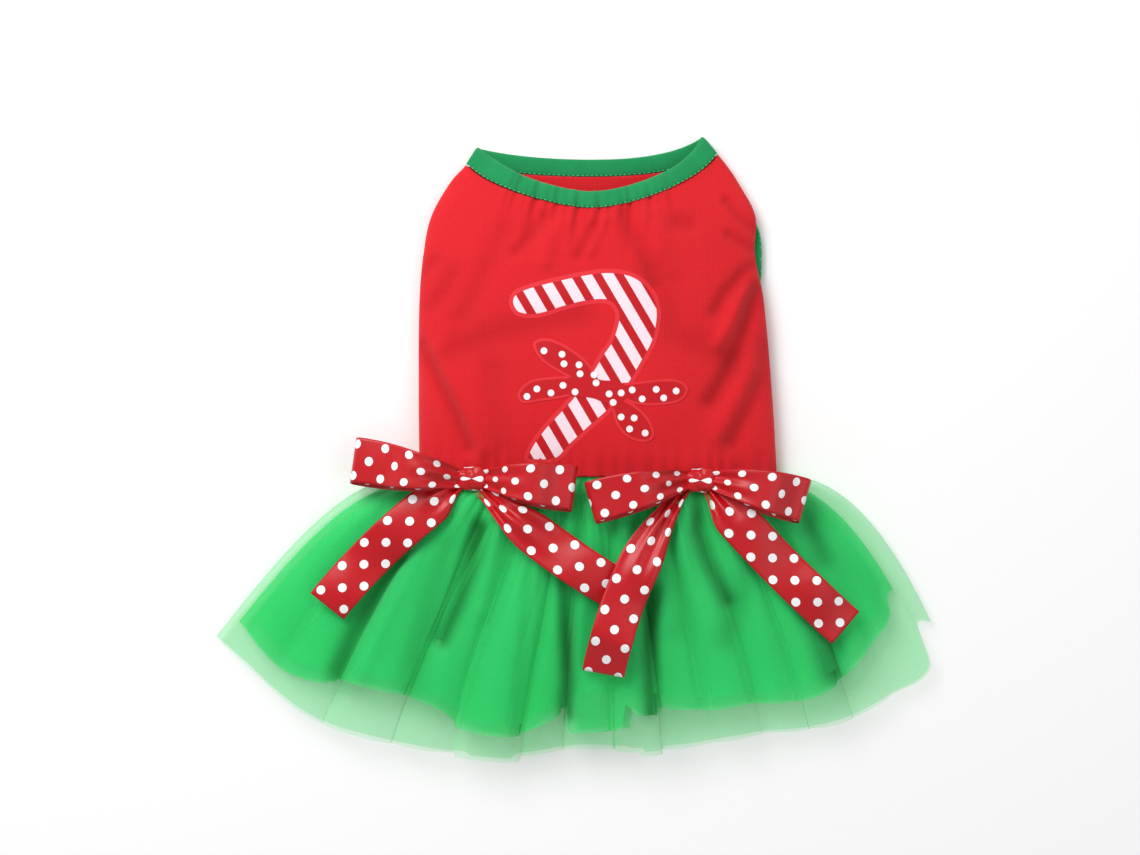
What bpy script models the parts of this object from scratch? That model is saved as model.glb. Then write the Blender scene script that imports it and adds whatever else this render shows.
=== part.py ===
"""A small dog's dress: a jersey bodice, a gathered skirt of three layers of net, and two satin bows.

The dress lies on its belly side with its back up. +X is to the right as seen from above with the neck
away from the viewer, +Y runs from the waist to the neck, +Z is up, and the floor is at z = 0. The origin
is on the floor at the middle of the waist, just inside the bodice's hem. Lengths are in metres and angles
in degrees.

A turn is an angle round the body of the dress: 0 at its right side, 90 on the back, 180 at its left side
and 270 on the belly, which lies on the floor.
"""
import math
from collections import namedtuple

import bmesh
import bpy
from mathutils import Vector
from mathutils.bvhtree import BVHTree

MM = 0.001

# Bodice
CHEST_WIDTH = 212 * MM
BODICE_LENGTH = 196 * MM
BODICE_HEIGHT = 29 * MM
BODICE_SIDE_HEIGHT = 7 * MM
BODICE_HEM = 4 * MM
JERSEY = 1.2 * MM
NECK_GATHER_HEIGHT = 1.4 * MM
NECK_GATHER_LENGTH = 34 * MM

# Bindings round the neck and the leg holes
BINDING_WIDTH = 10.4 * MM
BINDING_THICKNESS = 2.2 * MM
BINDING_PROUD = 0.4 * MM
LEG_HOLE_WIDTH = 36 * MM
LEG_HOLE_LENGTH = 53 * MM
LEG_BINDING_WIDTH = 8 * MM
LEG_BINDING_RISE = 3 * MM

# Skirt
SKIRT_LENGTH = 170 * MM
HEM_WIDTH = 426 * MM
SKIRT_HEIGHT = 38 * MM
SKIRT_SIDE_HEIGHT = 9 * MM
FOLD_HEIGHT = 8.5 * MM
NET = 1.0 * MM
LAYER_GAP = 1.9 * MM
LAYER_SIDE_GAP = 4.2 * MM
LAYER_FLAT_GAP = 0.5 * MM
MIDDLE_LAYER_SHORTER = 18 * MM
INNER_LAYER_SHORTER = 26 * MM

# Bows
RIBBON_WIDTH = 25 * MM
SATIN = 1.0 * MM
LOOP_LENGTH = 60 * MM
LOOP_HEIGHT = 10 * MM
LOOP_DROOP = 9 * MM
LOOP_SKEW = 4 * MM
TAIL_LENGTH = 105 * MM
KNOT_LENGTH = 18 * MM
KNOT_WIDTH = 14 * MM
KNOT_HEIGHT = 9 * MM

# The gap that pieces keep where one rests on or is sewn to another
SEAT = 0.3 * MM

# Sections of the bodice. along is a share of BODICE_LENGTH from the waist, left and right are shares of
# half of CHEST_WIDTH, and height is a share of BODICE_HEIGHT.
BodiceSection = namedtuple("BodiceSection", "along left right height")
BODICE_SECTIONS = [
    BodiceSection(0.00, 1.000, 1.004, 0.90),
    BodiceSection(0.21, 1.004, 0.981, 1.00),
    BodiceSection(0.51, 1.000, 0.932, 0.97),
    BodiceSection(0.66, 0.976, 0.882, 0.86),
    BodiceSection(0.77, 0.932, 0.884, 0.72),
    BodiceSection(0.876, 0.820, 0.782, 0.56),
    BodiceSection(0.925, 0.738, 0.720, 0.50),
    BodiceSection(1.01, 0.640, 0.590, 0.44),
]

# The seam between jersey and neck binding. middle, left and right are shares of BODICE_LENGTH, where the
# seam crosses the middle and the two sides, and power bends the curve between them.
NeckSeam = namedtuple("NeckSeam", "middle left right power")
BACK_NECK_SEAM = NeckSeam(0.786, 0.924, 0.956, 1.45)
BELLY_NECK_SEAM = NeckSeam(0.890, 0.924, 0.956, 2.2)

# The small gathers under the neck binding, on the back only. left and right are shares of the half width.
Gathers = namedtuple("Gathers", "left right count")
NECK_GATHERS = Gathers(-0.48, 0.40, 6)

# Leg holes in the belly. across is a share of half of CHEST_WIDTH, along a share of BODICE_LENGTH, and
# rise a share of LEG_BINDING_RISE, by which the outer side of the binding stands over the floor.
LegHole = namedtuple("LegHole", "name across along rise")
LEG_HOLES = [
    LegHole("leg_binding_left", -0.76, 0.638, 0.5),
    LegHole("leg_binding_right", 0.755, 0.638, 1.0),
]

# The two side edges of the skirt, as curves with a pull at each end. reach is a share of HEM_WIDTH from
# the middle, the turns are degrees from straight down, and the pulls are shares of SKIRT_LENGTH.
SideEdge = namedtuple("SideEdge", "reach start_turn start_pull end_turn end_pull")
LEFT_EDGE = SideEdge(0.533, 97, 0.23, 38, 0.44)
RIGHT_EDGE = SideEdge(0.467, 98, 0.15, 25, 0.48)
MIDDLE_PULL = 0.32
START_TURN_POWER = 2.5
END_TURN_POWER = 1.2
SIDE_GAP_POWER = 12

# The hem, as shares of SKIRT_LENGTH below the waist. at runs from -1 at the left side to 1 at the right.
HemPoint = namedtuple("HemPoint", "at drop")
HEM = [
    HemPoint(-1.00, 0.585),
    HemPoint(-0.91, 0.694),
    HemPoint(-0.77, 0.845),
    HemPoint(-0.60, 0.935),
    HemPoint(-0.37, 0.986),
    HemPoint(-0.22, 1.000),
    HemPoint(-0.06, 0.975),
    HemPoint(0.19, 0.975),
    HemPoint(0.48, 0.920),
    HemPoint(0.71, 0.885),
    HemPoint(0.87, 0.790),
    HemPoint(1.00, 0.650),
]

# The top of the skirt. along runs from 0 at the waist to 1 at the hem, height is a share of
# SKIRT_HEIGHT, side a share of SKIRT_SIDE_HEIGHT and fold a share of FOLD_HEIGHT.
SkirtSection = namedtuple("SkirtSection", "along height side fold")
SKIRT_SECTIONS = [
    SkirtSection(0.00, 0.70, 0.80, 0.10),
    SkirtSection(0.07, 0.93, 0.95, 0.30),
    SkirtSection(0.16, 1.00, 1.00, 0.45),
    SkirtSection(0.35, 0.92, 0.85, 0.70),
    SkirtSection(0.60, 0.76, 0.70, 0.90),
    SkirtSection(0.85, 0.58, 0.60, 1.00),
    SkirtSection(1.00, 0.48, 0.50, 1.00),
]
WAIST_BLEND = 0.10

# Folds of the skirt's back, from its left side to its right. Each runs from the row before it until its
# own until, crest is where its ridge stands as a share of its width, and lift is a share of FOLD_HEIGHT.
# The first row is only where they begin.
Fold = namedtuple("Fold", "until lift crest")
FOLDS = [
    Fold(-0.97, 0.00, 0.50),
    Fold(-0.86, 0.50, 0.50),
    Fold(-0.72, 0.75, 0.55),
    Fold(-0.54, 1.00, 0.30),
    Fold(-0.38, 0.65, 0.50),
    Fold(-0.20, 1.00, 0.60),
    Fold(-0.09, 0.75, 0.45),
    Fold(0.05, 0.75, 0.50),
    Fold(0.19, 1.00, 0.70),
    Fold(0.34, 0.60, 0.50),
    Fold(0.50, 0.90, 0.40),
    Fold(0.63, 0.60, 0.50),
    Fold(0.76, 1.00, 0.70),
    Fold(0.88, 0.75, 0.50),
    Fold(0.97, 0.45, 0.50),
]

# Bows. across is a share of half of CHEST_WIDTH and below a share of RIBBON_WIDTH under the waist.
Bow = namedtuple("Bow", "name across below")
LEFT_BOW = Bow("left_bow", -0.698, 0.20)
RIGHT_BOW = Bow("right_bow", 0.563, 0.24)

# Tails and loops leave the knot in the direction start_turn and end in the direction end_turn, counted
# from +X towards +Y. length is a share of TAIL_LENGTH or LOOP_LENGTH, from is where the strip begins, as
# shares of the knot's length and width, and end_width is a share of RIBBON_WIDTH.
Strip = namedtuple("Strip", "bow name length start_turn end_turn across below end_width")
TAILS = [
    Strip(LEFT_BOW, "tail_left", 0.98, 215, 231, -0.60, 0.35, 1.0),
    Strip(LEFT_BOW, "tail_right", 1.06, 318, 331, 0.45, 0.60, 1.0),
    Strip(RIGHT_BOW, "tail_left", 1.10, 233, 260, -0.65, 0.55, 1.0),
    Strip(RIGHT_BOW, "tail_right", 1.06, 310, 319, 0.45, 0.55, 1.0),
]
LOOPS = [
    Strip(LEFT_BOW, "loop_left", 1.03, 166, 172, -0.52, 0.0, 1.06),
    Strip(LEFT_BOW, "loop_right", 0.86, 358, 352, 0.52, 0.0, 1.04),
    Strip(RIGHT_BOW, "loop_left", 0.95, 188, 196, -0.52, 0.0, 0.96),
    Strip(RIGHT_BOW, "loop_right", 0.90, 352, 344, 0.52, 0.0, 1.02),
]

# How fine the faceted pieces are
SIDE_TURNS = [0, 4, 9, 16, 25, 35, 46, 57]
BELLY_TURNS = [4, 10, 20, 35, 52, 71, 90]
BODICE_ROWS = 9
SKIRT_ROWS = [0, 0.05, 0.12, 0.23, 0.40, 0.62]
LEG_SEGMENTS = 24
TAIL_ROWS = 10
LOOP_ROWS = 6
ROLL = 0.3


def clear_scene():
    """Removes whatever the file opened with."""
    for thing in list(bpy.data.objects):
        bpy.data.objects.remove(thing, do_unlink=True)


def collection(name):
    """A new collection in the scene."""
    made = bpy.data.collections.new(name)
    bpy.context.scene.collection.children.link(made)
    return made


def material(name, colour, roughness):
    """A cloth finish with its own colour and roughness."""
    made = bpy.data.materials.new(name)
    made.use_nodes = True
    shader = made.node_tree.nodes["Principled BSDF"]
    shader.inputs["Base Color"].default_value = (*colour, 1)
    shader.inputs["Roughness"].default_value = roughness
    shader.inputs["Metallic"].default_value = 0
    return made


def mix(first, second, share):
    """The value or point that lies a share of the way from the first to the second."""
    return first + (second - first) * share


def ease(share):
    """A smooth step from 0 to 1."""
    share = min(max(share, 0), 1)
    return share * share * (3 - 2 * share)


def read(rows, column, at):
    """A column of a table at a place between its rows, on one smooth curve through them all."""
    places = [row[0] for row in rows]
    values = [getattr(row, column) for row in rows]
    last = len(rows) - 1
    at = min(max(at, places[0]), places[last])
    low = max(index for index in range(last) if places[index] <= at)
    span = places[low + 1] - places[low]
    share = (at - places[low]) / span

    def slope(index):
        before, after = max(index - 1, 0), min(index + 1, last)
        return (values[after] - values[before]) / (places[after] - places[before]) * span

    start, end = slope(low), slope(low + 1)
    rise = values[low + 1] - values[low]
    return (values[low] + start * share + (3 * rise - 2 * start - end) * share ** 2
            + (start + end - 2 * rise) * share ** 3)


def loft(name, rings, ring_closed, finish, group, along_closed=False):
    """An object whose quads run through rings of points that all have the same count."""
    build = bmesh.new()
    made = [[build.verts.new(point) for point in ring] for ring in rings]
    pairs = list(zip(made, made[1:]))
    if along_closed:
        pairs.append((made[-1], made[0]))
    count = len(rings[0])
    for first, second in pairs:
        for index in range(count if ring_closed else count - 1):
            after = (index + 1) % count
            build.faces.new((first[index], first[after], second[after], second[index]))
    mesh = bpy.data.meshes.new(name)
    build.to_mesh(mesh)
    build.free()
    mesh.shade_smooth()
    made_object = bpy.data.objects.new(name, mesh)
    mesh.materials.append(finish)
    group.objects.link(made_object)
    return made_object


def thicken(piece, wall, side):
    """Gives an open surface its wall, on the inside for side -1 and on the outside for side 1."""
    wall_modifier = piece.modifiers.new("wall", "SOLIDIFY")
    wall_modifier.thickness = wall
    wall_modifier.offset = side


def bodice_turns():
    """Turns of the bodice's columns, close together at its sides and at the neck gathers."""
    step = (NECK_GATHERS.right - NECK_GATHERS.left) / (2 * NECK_GATHERS.count)
    middle = [NECK_GATHERS.right - step * index for index in range(2 * NECK_GATHERS.count + 1)]
    back = SIDE_TURNS + [math.degrees(math.acos(across)) for across in middle]
    back += [180 - turn for turn in reversed(SIDE_TURNS)]
    belly = [180 + turn for turn in BELLY_TURNS] + [360 - turn for turn in reversed(BELLY_TURNS[:-1])]
    return back + belly


def neck_seam(turn):
    """How far from the waist the jersey meets the neck binding."""
    across = math.cos(math.radians(turn))
    seam = BACK_NECK_SEAM if turn <= 180 else BELLY_NECK_SEAM
    tip = seam.right if across > 0 else seam.left
    return BODICE_LENGTH * mix(seam.middle, tip, abs(across) ** seam.power)


def neck_gather(across, below_seam):
    """How far the small gathers under the neck binding lift the jersey."""
    share = (NECK_GATHERS.right - across) / (NECK_GATHERS.right - NECK_GATHERS.left)
    if not 0 < share < 1:
        return 0
    wave = 0.5 - 0.5 * math.cos(2 * math.pi * NECK_GATHERS.count * share)
    fade = ease(1 - below_seam / NECK_GATHER_LENGTH) * math.sin(math.pi * share) ** 0.5
    return NECK_GATHER_HEIGHT * wave * fade


def belly_height(side_height, turn):
    """Height of the belly side, which rolls down from the side fold and then lies flat."""
    reach = abs(math.sin(math.radians(turn))) / ROLL
    return side_height * max(0, 1 - reach) ** 2


def bodice_point(turn, along, inset=0):
    """A point of the bodice's tube, along metres from the waist and inset metres under its surface."""
    share = along / BODICE_LENGTH
    across = math.cos(math.radians(turn))
    up = math.sin(math.radians(turn))
    left = -read(BODICE_SECTIONS, "left", share) * CHEST_WIDTH / 2
    right = read(BODICE_SECTIONS, "right", share) * CHEST_WIDTH / 2
    x = mix(left, right, (1 + across) / 2) - inset * across
    if turn <= 180:
        top = read(BODICE_SECTIONS, "height", share) * BODICE_HEIGHT
        z = BODICE_SIDE_HEIGHT + (top - BODICE_SIDE_HEIGHT - inset) * up ** 0.9
        z += neck_gather(across, neck_seam(turn) - along)
    else:
        z = belly_height(BODICE_SIDE_HEIGHT, turn) + max(inset, 0) * min(1, -up / ROLL)
    return Vector((x, along, z))


def leg_hole_centre(hole):
    """The middle of a leg hole, on the floor."""
    return Vector((hole.across * CHEST_WIDTH / 2, hole.along * BODICE_LENGTH, 0))


def leg_cutter(hole, group):
    """An upright oval bar that cuts one leg hole through the belly and the side fold."""
    build = bmesh.new()
    top = BODICE_SIDE_HEIGHT - SEAT
    bmesh.ops.create_cone(build, cap_ends=True, segments=LEG_SEGMENTS, radius1=0.5, radius2=0.5, depth=1)
    for vertex in build.verts:
        vertex.co.x *= LEG_HOLE_WIDTH
        vertex.co.y *= LEG_HOLE_LENGTH
        vertex.co.z = top if vertex.co.z > 0 else -top
    mesh = bpy.data.meshes.new(hole.name + "_hole")
    build.to_mesh(mesh)
    build.free()
    cutter = bpy.data.objects.new(mesh.name, mesh)
    cutter.location = leg_hole_centre(hole)
    cutter.hide_render = True
    cutter.display_type = "WIRE"
    group.objects.link(cutter)
    return cutter


def make_bodice(group, cutters, finish):
    """The jersey tube, open at neck and waist, with its two leg holes."""
    turns = bodice_turns()
    rings = []
    for row in range(BODICE_ROWS, -1, -1):
        share = row / BODICE_ROWS
        rings.append([bodice_point(turn, mix(-BODICE_HEM, neck_seam(turn), share)) for turn in turns])
    bodice = loft("bodice", rings, True, finish, group)
    thicken(bodice, JERSEY, -1)
    for hole in LEG_HOLES:
        cut = bodice.modifiers.new("leg hole", "BOOLEAN")
        cut.object = leg_cutter(hole, cutters)
    return bodice


def make_neck_binding(group, finish):
    """The band that carries the bodice's tube on from its neck seam."""
    edge = BINDING_WIDTH
    corner = BINDING_THICKNESS / 3
    under = BINDING_THICKNESS - BINDING_PROUD
    profile = [
        (SEAT, -BINDING_PROUD),
        (edge - corner, -BINDING_PROUD),
        (edge, BINDING_THICKNESS / 2 - BINDING_PROUD),
        (edge - corner, under),
        (SEAT, under),
    ]
    rings = []
    for past_seam, inset in profile:
        rings.append([bodice_point(turn, neck_seam(turn) + past_seam, inset) for turn in bodice_turns()])
    rings.reverse()
    return loft("neck_binding", rings, True, finish, group, along_closed=True)


def make_leg_binding(hole, group, finish):
    """An oval band that lies inside a leg hole's edge and stands up a little at its outer side."""
    centre = leg_hole_centre(hole)
    outward = 1 if hole.across > 0 else -1
    across_radius = LEG_HOLE_WIDTH / 2 - SEAT
    along_radius = LEG_HOLE_LENGTH / 2 - SEAT
    profile = [(0, 0), (0, 0.8), (0.25, 1), (0.8, 1), (1, 0.5), (0.8, 0)]
    rings = []
    for index in range(LEG_SEGMENTS):
        angle = 2 * math.pi * index / LEG_SEGMENTS
        outer = max(0, math.cos(angle) * outward)
        rise = LEG_BINDING_RISE * hole.rise * ease(outer)
        ring = []
        for inwards, upwards in profile:
            inset = inwards * LEG_BINDING_WIDTH
            x = (across_radius - inset) * math.cos(angle)
            y = (along_radius - inset) * math.sin(angle)
            z = rise + upwards * BINDING_THICKNESS
            ring.append(centre + Vector((x, y, z)))
        rings.append(ring)
    rings.reverse()
    return loft(hole.name, rings, True, finish, group, along_closed=True)


def fold_columns():
    """Places across the skirt's back where its folds have their valleys, flanks and crests."""
    places = []
    for before, fold in zip(FOLDS, FOLDS[1:]):
        for share in (0, fold.crest / 2, fold.crest, (1 + fold.crest) / 2):
            places.append(mix(before.until, fold.until, share))
    return places + [FOLDS[-1].until]


def skirt_turns():
    """Turns of the skirt's columns, from its right side over the back to the belly."""
    back = SIDE_TURNS[:3] + [math.degrees(math.acos(across)) for across in reversed(fold_columns())]
    back += [180 - turn for turn in reversed(SIDE_TURNS[:3])]
    belly = [180 + turn for turn in BELLY_TURNS] + [360 - turn for turn in reversed(BELLY_TURNS[:-1])]
    return back + belly


def fold_lift(across):
    """Share of the full fold height at a place across the skirt's back."""
    for before, fold in zip(FOLDS, FOLDS[1:]):
        if before.until <= across < fold.until:
            share = (across - before.until) / (fold.until - before.until)
            if share < fold.crest:
                return fold.lift * (0.5 - 0.5 * math.cos(math.pi * share / fold.crest))
            return fold.lift * (0.5 + 0.5 * math.cos(math.pi * (share - fold.crest) / (1 - fold.crest)))
    return 0


def heading(turn, length):
    """A step in plan, turned from straight down the skirt towards +X."""
    return Vector((math.sin(math.radians(turn)), -math.cos(math.radians(turn)))) * length


def skirt_plan(across, along):
    """Where a line of the skirt's cloth runs in plan, and the direction square to it, towards +X."""
    side = RIGHT_EDGE if across > 0 else LEFT_EDGE
    sign = 1 if across > 0 else -1
    far = abs(across)
    waist = bodice_point(0, 0) if across > 0 else bodice_point(180, 0)
    start = Vector((waist.x * far, -BODICE_HEM - SEAT))
    end = Vector((side.reach * HEM_WIDTH * across, -read(HEM, "drop", across) * SKIRT_LENGTH))
    start_pull = mix(MIDDLE_PULL, side.start_pull, far ** 2) * SKIRT_LENGTH
    end_pull = mix(MIDDLE_PULL, side.end_pull, far ** 2) * SKIRT_LENGTH
    first = start + heading(sign * side.start_turn * far ** START_TURN_POWER, start_pull)
    second = end - heading(sign * side.end_turn * far ** END_TURN_POWER, end_pull)
    rest = 1 - along
    place = (start * rest ** 3 + first * 3 * rest ** 2 * along
             + second * 3 * rest * along ** 2 + end * along ** 3)
    run = (first - start) * rest ** 2 + (second - first) * 2 * rest * along + (end - second) * along ** 2
    run.normalize()
    return place, Vector((-run.y, run.x))


def skirt_point(turn, along, layer):
    """A point of one layer of the skirt, along from 0 at the waist to 1 at the full hem."""
    across = math.cos(math.radians(turn))
    up = math.sin(math.radians(turn))
    inset = layer * (NET + LAYER_GAP)
    place, square = skirt_plan(across, along)
    place -= square * layer * (NET + LAYER_SIDE_GAP) * math.copysign(across ** SIDE_GAP_POWER, across)
    blend = ease(along / WAIST_BLEND)
    side = mix(BODICE_SIDE_HEIGHT, read(SKIRT_SECTIONS, "side", along) * SKIRT_SIDE_HEIGHT, blend)
    if turn <= 180:
        waist_top = BODICE_SECTIONS[0].height * BODICE_HEIGHT
        top = mix(waist_top, read(SKIRT_SECTIONS, "height", along) * SKIRT_HEIGHT, blend)
        lift = fold_lift(across) * read(SKIRT_SECTIONS, "fold", along) * FOLD_HEIGHT
        z = side + (top - side - inset + lift - FOLD_HEIGHT / 3 * blend) * up
    else:
        floor = layer * (NET + LAYER_FLAT_GAP)
        z = floor + belly_height(side - floor, turn)
    return Vector((place.x, place.y, z))


def make_skirt_layer(name, layer, shorter, group, finish):
    """One layer of gathered net, open at the waist and at the hem."""
    ends = sorted(1 - less / SKIRT_LENGTH for less in (0, MIDDLE_LAYER_SHORTER, INNER_LAYER_SHORTER))
    rows = [along for along in SKIRT_ROWS + ends if along <= 1 - shorter / SKIRT_LENGTH]
    turns = skirt_turns()
    rings = [[skirt_point(turn, along, layer) for turn in turns] for along in rows]
    skirt = loft(name, rings, True, finish, group)
    thicken(skirt, NET, -1)
    return skirt


class Ground:
    """What the ribbons rest on: the highest surface under any place in plan."""

    def __init__(self):
        self.trees = []

    def add(self, piece):
        """Adds a piece, as its modifiers leave it."""
        self.trees.append(BVHTree.FromObject(piece, bpy.context.evaluated_depsgraph_get()))

    def height(self, x, y, around):
        """The highest surface within a distance of a place, or the floor."""
        top = 0
        high = SKIRT_HEIGHT + BODICE_HEIGHT + KNOT_HEIGHT + LOOP_HEIGHT
        steps = [index / 5 for index in range(-5, 6)]
        for tree in self.trees:
            for right in steps:
                for up in steps:
                    start = Vector((x + right * around, y + up * around, high))
                    hit = tree.ray_cast(start, Vector((0, 0, -1)))[0]
                    if hit is not None:
                        top = max(top, hit.z)
        return top


def compass(turn, length):
    """A step in plan in a direction counted from +X towards +Y."""
    return Vector((math.cos(math.radians(turn)), math.sin(math.radians(turn)))) * length


def bow_centre(bow):
    """Where a bow's knot sits in plan."""
    return Vector((bow.across * CHEST_WIDTH / 2, -bow.below * RIBBON_WIDTH))


def strip_line(strip, length, rows):
    """The middle line of a strip in plan, with the direction square to it at each row."""
    place = bow_centre(strip.bow) + Vector((strip.across * KNOT_LENGTH, -strip.below * KNOT_WIDTH))
    place += Vector((math.copysign(SEAT, strip.across), 0))
    line = []
    for row in range(rows + 1):
        turn = mix(strip.start_turn, strip.end_turn, row / rows)
        line.append((place.copy(), compass(turn + 90, 1)))
        place += compass(turn, length / rows)
    return line


def make_tail(strip, ground, group, finish):
    """A ribbon end that lies over the skirt and bridges its folds."""
    length = strip.length * TAIL_LENGTH
    line = strip_line(strip, length, TAIL_ROWS)
    heights = [ground.height(*place, RIBBON_WIDTH * 0.55) for place, square in line]
    rings = []
    for row, (place, square) in enumerate(line):
        near = heights[max(row - 1, 0):row + 2]
        z = max(heights[row], sum(near) / len(near)) + SEAT
        width = RIBBON_WIDTH * mix(0.62, strip.end_width, ease(row / TAIL_ROWS / 0.35))
        crown = 0.06 * RIBBON_WIDTH
        ring = []
        for share in (-0.5, -0.25, 0, 0.25, 0.5):
            at = place + square * width * share
            ring.append((at.x, at.y, z + crown * (1 - (2 * share) ** 2)))
        rings.append(ring)
    rings.reverse()
    tail = loft(strip.bow.name + "_" + strip.name, rings, False, finish, group)
    thicken(tail, SATIN, 1)
    return tail


def make_loop(strip, base, ground, group, finish):
    """A hollow ribbon loop: out from the knot below, round its end, and back above."""
    end_round = 0.4 * LOOP_HEIGHT
    line = strip_line(strip, strip.length * LOOP_LENGTH - end_round, LOOP_ROWS)
    lower, upper = [], []
    for row, (place, square) in enumerate(line):
        share = row / LOOP_ROWS
        resting = ground.height(*place, RIBBON_WIDTH * 0.6) + SEAT
        z = max(resting, base - LOOP_DROOP * share ** 2)
        open_height = mix(SATIN * 3, LOOP_HEIGHT, math.sin(math.pi / 2 * min(1, share / 0.7)))
        width = RIBBON_WIDTH * mix(0.36, strip.end_width, math.sin(math.pi / 2 * share) ** 0.8)
        down = square if square.y < 0 else -square
        lower.append((place + down * LOOP_SKEW * share * (1.5 - share), square, width, z))
        upper.append((place, square, width, z + open_height))
    turn_out = (line[-1][0] - line[-2][0]).normalized()
    path = list(lower)
    low, high = lower[-1], upper[-1]
    for angle in (-45, 0, 45):
        share = (math.sin(math.radians(angle)) + 1) / 2
        out = turn_out * end_round * math.cos(math.radians(angle))
        path.append((mix(low[0], high[0], share) + out, low[1], low[2], mix(low[3], high[3], share)))
    path += reversed(upper)
    rings = []
    for place, square, width, z in path:
        ring = []
        for share in (-0.5, 0, 0.5):
            at = place + square * width * share
            ring.append((at.x, at.y, z))
        rings.append(ring)
    loop = loft(strip.bow.name + "_" + strip.name, rings, False, finish, group)
    thicken(loop, SATIN, -1)
    return loop


def make_knot(bow, ground, group, finish):
    """The small crumpled knot, a ribbed pillow that rests on the waist and the tails."""
    centre = bow_centre(bow)
    base = ground.height(*centre, KNOT_WIDTH / 5) + SEAT
    build = bmesh.new()
    bmesh.ops.create_uvsphere(build, u_segments=14, v_segments=7, radius=1)
    ribs = 5
    for vertex in build.verts:
        x, y, z = vertex.co
        rib = 1 + 0.07 * math.cos(ribs * math.atan2(y, z))
        square = 1 / max(abs(x) ** 3 + abs(y) ** 3 + abs(z) ** 3, 1e-9) ** (1 / 3)
        vertex.co.x = centre.x + x * square * KNOT_LENGTH / 2
        vertex.co.y = centre.y + y * square * rib * KNOT_WIDTH / 2.2
        vertex.co.z = base + (1 + z * square * rib / 1.07) * KNOT_HEIGHT / 2
    mesh = bpy.data.meshes.new(bow.name + "_knot")
    build.to_mesh(mesh)
    build.free()
    mesh.shade_smooth()
    mesh.materials.append(finish)
    knot = bpy.data.objects.new(mesh.name, mesh)
    group.objects.link(knot)
    return base


def main():
    clear_scene()
    dress = collection("dog_dress")
    cutters = collection("cutters")
    jersey = material("red jersey", (0.70, 0.014, 0.021), 0.85)
    rib = material("green rib", (0.008, 0.342, 0.102), 0.8)
    net = material("green net", (0.027, 0.665, 0.171), 0.6)
    satin = material("red satin", (0.578, 0.007, 0.013), 0.3)

    ground = Ground()
    ground.add(make_bodice(dress, cutters, jersey))
    make_neck_binding(dress, rib)
    for hole in LEG_HOLES:
        make_leg_binding(hole, dress, rib)
    ground.add(make_skirt_layer("skirt_outer_layer", 0, 0, dress, net))
    make_skirt_layer("skirt_middle_layer", 1, MIDDLE_LAYER_SHORTER, dress, net)
    make_skirt_layer("skirt_inner_layer", 2, INNER_LAYER_SHORTER, dress, net)

    for strip in TAILS:
        ground.add(make_tail(strip, ground, dress, satin))
    for bow in (LEFT_BOW, RIGHT_BOW):
        base = make_knot(bow, ground, dress, satin)
        for strip in LOOPS:
            if strip.bow is bow:
                make_loop(strip, base + KNOT_HEIGHT / 2 - 1.5 * SATIN, ground, dress, satin)


main()
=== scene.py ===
"""The looks of a small dog's dress: red jersey bodice, green bindings, net skirt and red satin bows.

The dress lies on its belly side with its back up, as its frame does. Lengths are in metres and angles in
degrees. A turn is an angle round the body of the dress: 0 at its right side, 90 on the back, 180 at its
left side and 270 on the belly.
"""
import math
from collections import namedtuple
from contextlib import contextmanager

import bmesh
import bpy
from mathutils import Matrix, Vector, noise
from mathutils.bvhtree import BVHTree
from mathutils.geometry import delaunay_2d_cdt


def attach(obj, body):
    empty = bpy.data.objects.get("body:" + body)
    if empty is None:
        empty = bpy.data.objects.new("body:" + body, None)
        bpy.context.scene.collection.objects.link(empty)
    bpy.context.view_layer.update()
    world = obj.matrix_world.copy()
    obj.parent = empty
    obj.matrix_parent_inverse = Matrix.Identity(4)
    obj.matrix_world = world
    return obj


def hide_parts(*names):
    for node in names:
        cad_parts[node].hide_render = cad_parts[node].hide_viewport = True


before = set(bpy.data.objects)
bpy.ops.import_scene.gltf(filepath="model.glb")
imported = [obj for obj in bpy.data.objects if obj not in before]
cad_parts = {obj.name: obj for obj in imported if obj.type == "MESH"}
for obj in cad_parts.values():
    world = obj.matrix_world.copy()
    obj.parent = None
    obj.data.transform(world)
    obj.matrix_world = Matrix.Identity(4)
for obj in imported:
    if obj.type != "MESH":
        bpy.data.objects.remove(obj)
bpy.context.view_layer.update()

MM = 0.001
# The photo's frame: how wide one of its pixels is on the dress, and the pixel at the middle of the waist.
PIXEL = 0.588 * MM
WAIST_MIDDLE = (598, 470)

# Bodice and bindings
CHEST_WIDTH = 212 * MM
BODICE_LENGTH = 196 * MM
BODICE_HEIGHT = 29 * MM
BODICE_SIDE_HEIGHT = 7 * MM
BODICE_HEM = 4 * MM
JERSEY = 1.2 * MM
BINDING_WIDTH = 10.4 * MM
BINDING_THICKNESS = 2.2 * MM
BINDING_PROUD = 0.4 * MM
LEG_HOLE_WIDTH = 36 * MM
LEG_HOLE_LENGTH = 53 * MM
LEG_BINDING_WIDTH = 8 * MM
LEG_BINDING_RISE = 3 * MM
# Below 1 the leg holes' ovals are squarer.
LEG_HOLE_SQUARE = 0.62
STITCH_PITCH = 2.8 * MM
STITCH_LENGTH = 2.1 * MM
STITCH_WIDTH = 0.7 * MM

# Skirt
SKIRT_LENGTH = 170 * MM
HEM_WIDTH = 426 * MM
SKIRT_HEIGHT = 38 * MM
SKIRT_SIDE_HEIGHT = 9 * MM
FOLD_HEIGHT = 8.5 * MM
LAYER_STEP = 2.9 * MM
LAYER_SIDE_STEP = 5.2 * MM
LAYER_FLAT_STEP = 1.5 * MM

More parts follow.
